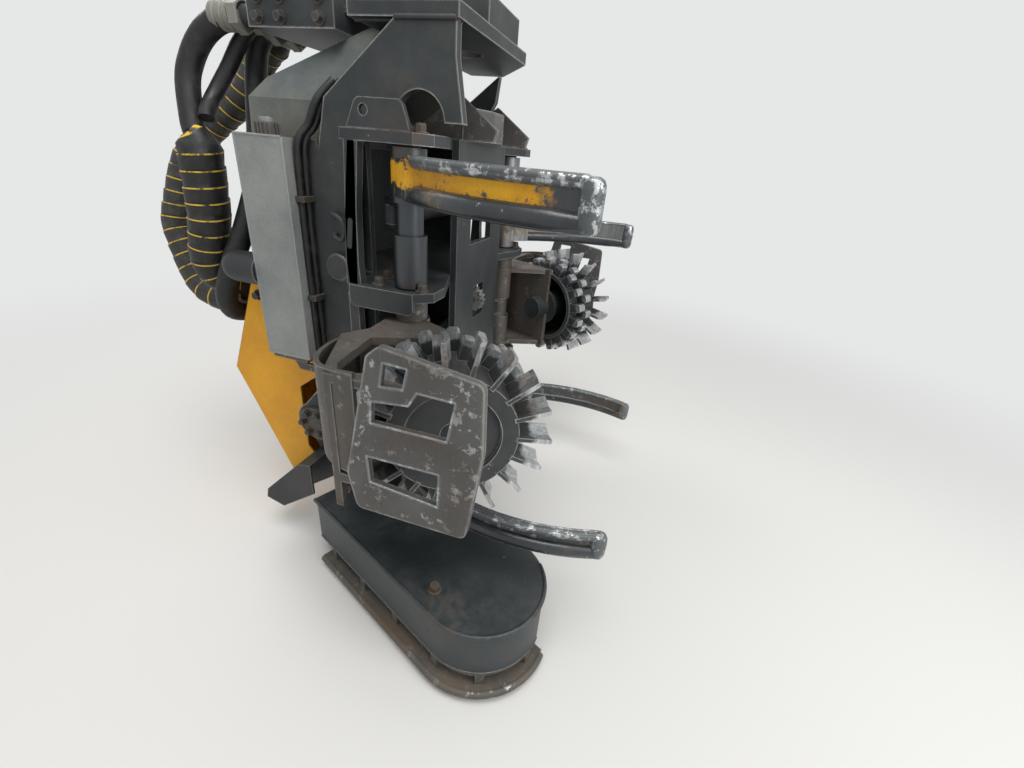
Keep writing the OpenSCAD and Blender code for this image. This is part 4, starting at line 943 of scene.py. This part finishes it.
nose = nose_line(box_half, 62)
rim_line = [(x, -box_half) for x in np.linspace(-18, 590, 40)] + nose
foot_line = [(x, -box_half) for x in np.linspace(2, 590, 40)] + [(x, y) for x, y in nose if y < 60]
made_piece("saw_box_rim", [saw_bead(rim_line, -508, 6.5, 12), saw_bead(foot_line, -653, 5.0, 10)],
           saw_box_paint, "head")
edge_line = [(x, -guard_half) for x in np.linspace(42, box_long, 40)] + nose_line(guard_half, 18)
made_piece("saw_guard_edge", [saw_bead(edge_line, -713, 11.0, 14)], ring_steel, "head")

# %% [markdown]
# ## The tank's cap and edges
# The tank is folded sheet with welded corners, so its edges are small rounds. Its filler has a
# knurled cap that hands can grip.

# %% Tank
cap_x, cap_mid_y, tank_front_y = -585, -388, -418
tank_x, tank_z = (-663, -522), (-13, 568)
knurl = [rings([(cap_x, cap_mid_y, z) for z in (569, 574, 596, 599)], [26, 27, 27, 24], 24)]
for c, d in circle_of(18):
    x, y = cap_x + 27 * c, cap_mid_y + 27 * d
    knurl.append(rings([(x, y, 573), (x, y, 597)], 2.2, 6))
made_piece("tank_cap", knurl, bead_steel, "root")
edges = [rings([(x, tank_front_y, z) for z in tank_z], 3.5, 10) for x in tank_x]
edges += [rings([(x, tank_front_y, z) for x in tank_x], 3.5, 10) for z in tank_z]
made_piece("tank_edges", edges, grey_paint, "root")

# %% [markdown]
# ## Floor and light
# A plain pale floor lies just under the head. Its far part is as pale as the sky for the camera
# and for mirrors, so no horizon shows, while the near part stays matt and keeps the shadow. The
# light comes from a pale world and large soft lamps, like an overcast sky.

# %% Floor
lowest_z = cad_box[0][2]
bpy.ops.mesh.primitive_plane_add(size=60, location=(0, 0, lowest_z - 0.02))
floor = bpy.context.object
floor.name = "floor"
floor_finish, tree, where = new_material("pale_floor")
away = between(tree, "LENGTH", where["Object"], result="Value")
share = capped(tree, "MULTIPLY", seen_directly(tree), ramp(tree, away, 1.2, 4.5))
matt = add(tree, "ShaderNodeBsdfPrincipled", {"Base Color": light_of("#d9d8d5"), "Roughness": 0.9}).outputs[0]
pale = add(tree, "ShaderNodeEmission", {"Color": light_of("#e6e7e7"), "Strength": 1.0}).outputs[0]
far_or_near = add(tree, "ShaderNodeMixShader", {0: share, 1: matt, 2: pale}).outputs[0]
add(tree, "ShaderNodeOutputMaterial", {"Surface": far_or_near})
floor.data.materials.append(floor_finish)
print("floor at", round(floor.location.z, 3))

# %% Light
world = bpy.data.worlds.new("overcast")
bpy.context.scene.world = world
world.use_nodes = True
tree = world.node_tree
tree.nodes.clear()
strength = ramp(tree, seen_directly(tree), 0.0, 1.0, 0.6, 1.0)
sky = add(tree, "ShaderNodeBackground", {"Color": light_of("#e6e7e7"), "Strength": strength})
add(tree, "ShaderNodeOutputWorld", {"Surface": sky.outputs[0]})


def soft_lamp(name, at, to, size, power):
    lamp = bpy.data.lights.new(name, "AREA")
    lamp.shape = "DISK"
    lamp.size = size
    lamp.energy = power
    holder = put_in_scene(name, lamp)
    holder.location = at
    holder.rotation_euler = (Vector(to) - Vector(at)).to_track_quat("-Z", "Y").to_euler()


soft_lamp("sky_lamp", (0.6, -1.6, 3.2), (0, 0, -0.7), 3.0, 130)
soft_lamp("front_lamp", (3.2, -1.4, 0.6), (0, 0, -0.8), 2.2, 60)
soft_lamp("back_lamp", (-3.0, 1.6, 1.6), (0, 0, -0.7), 2.4, 60)
bpy.context.scene.view_settings.view_transform = "Standard"
print("lamps:", len(bpy.data.lights))
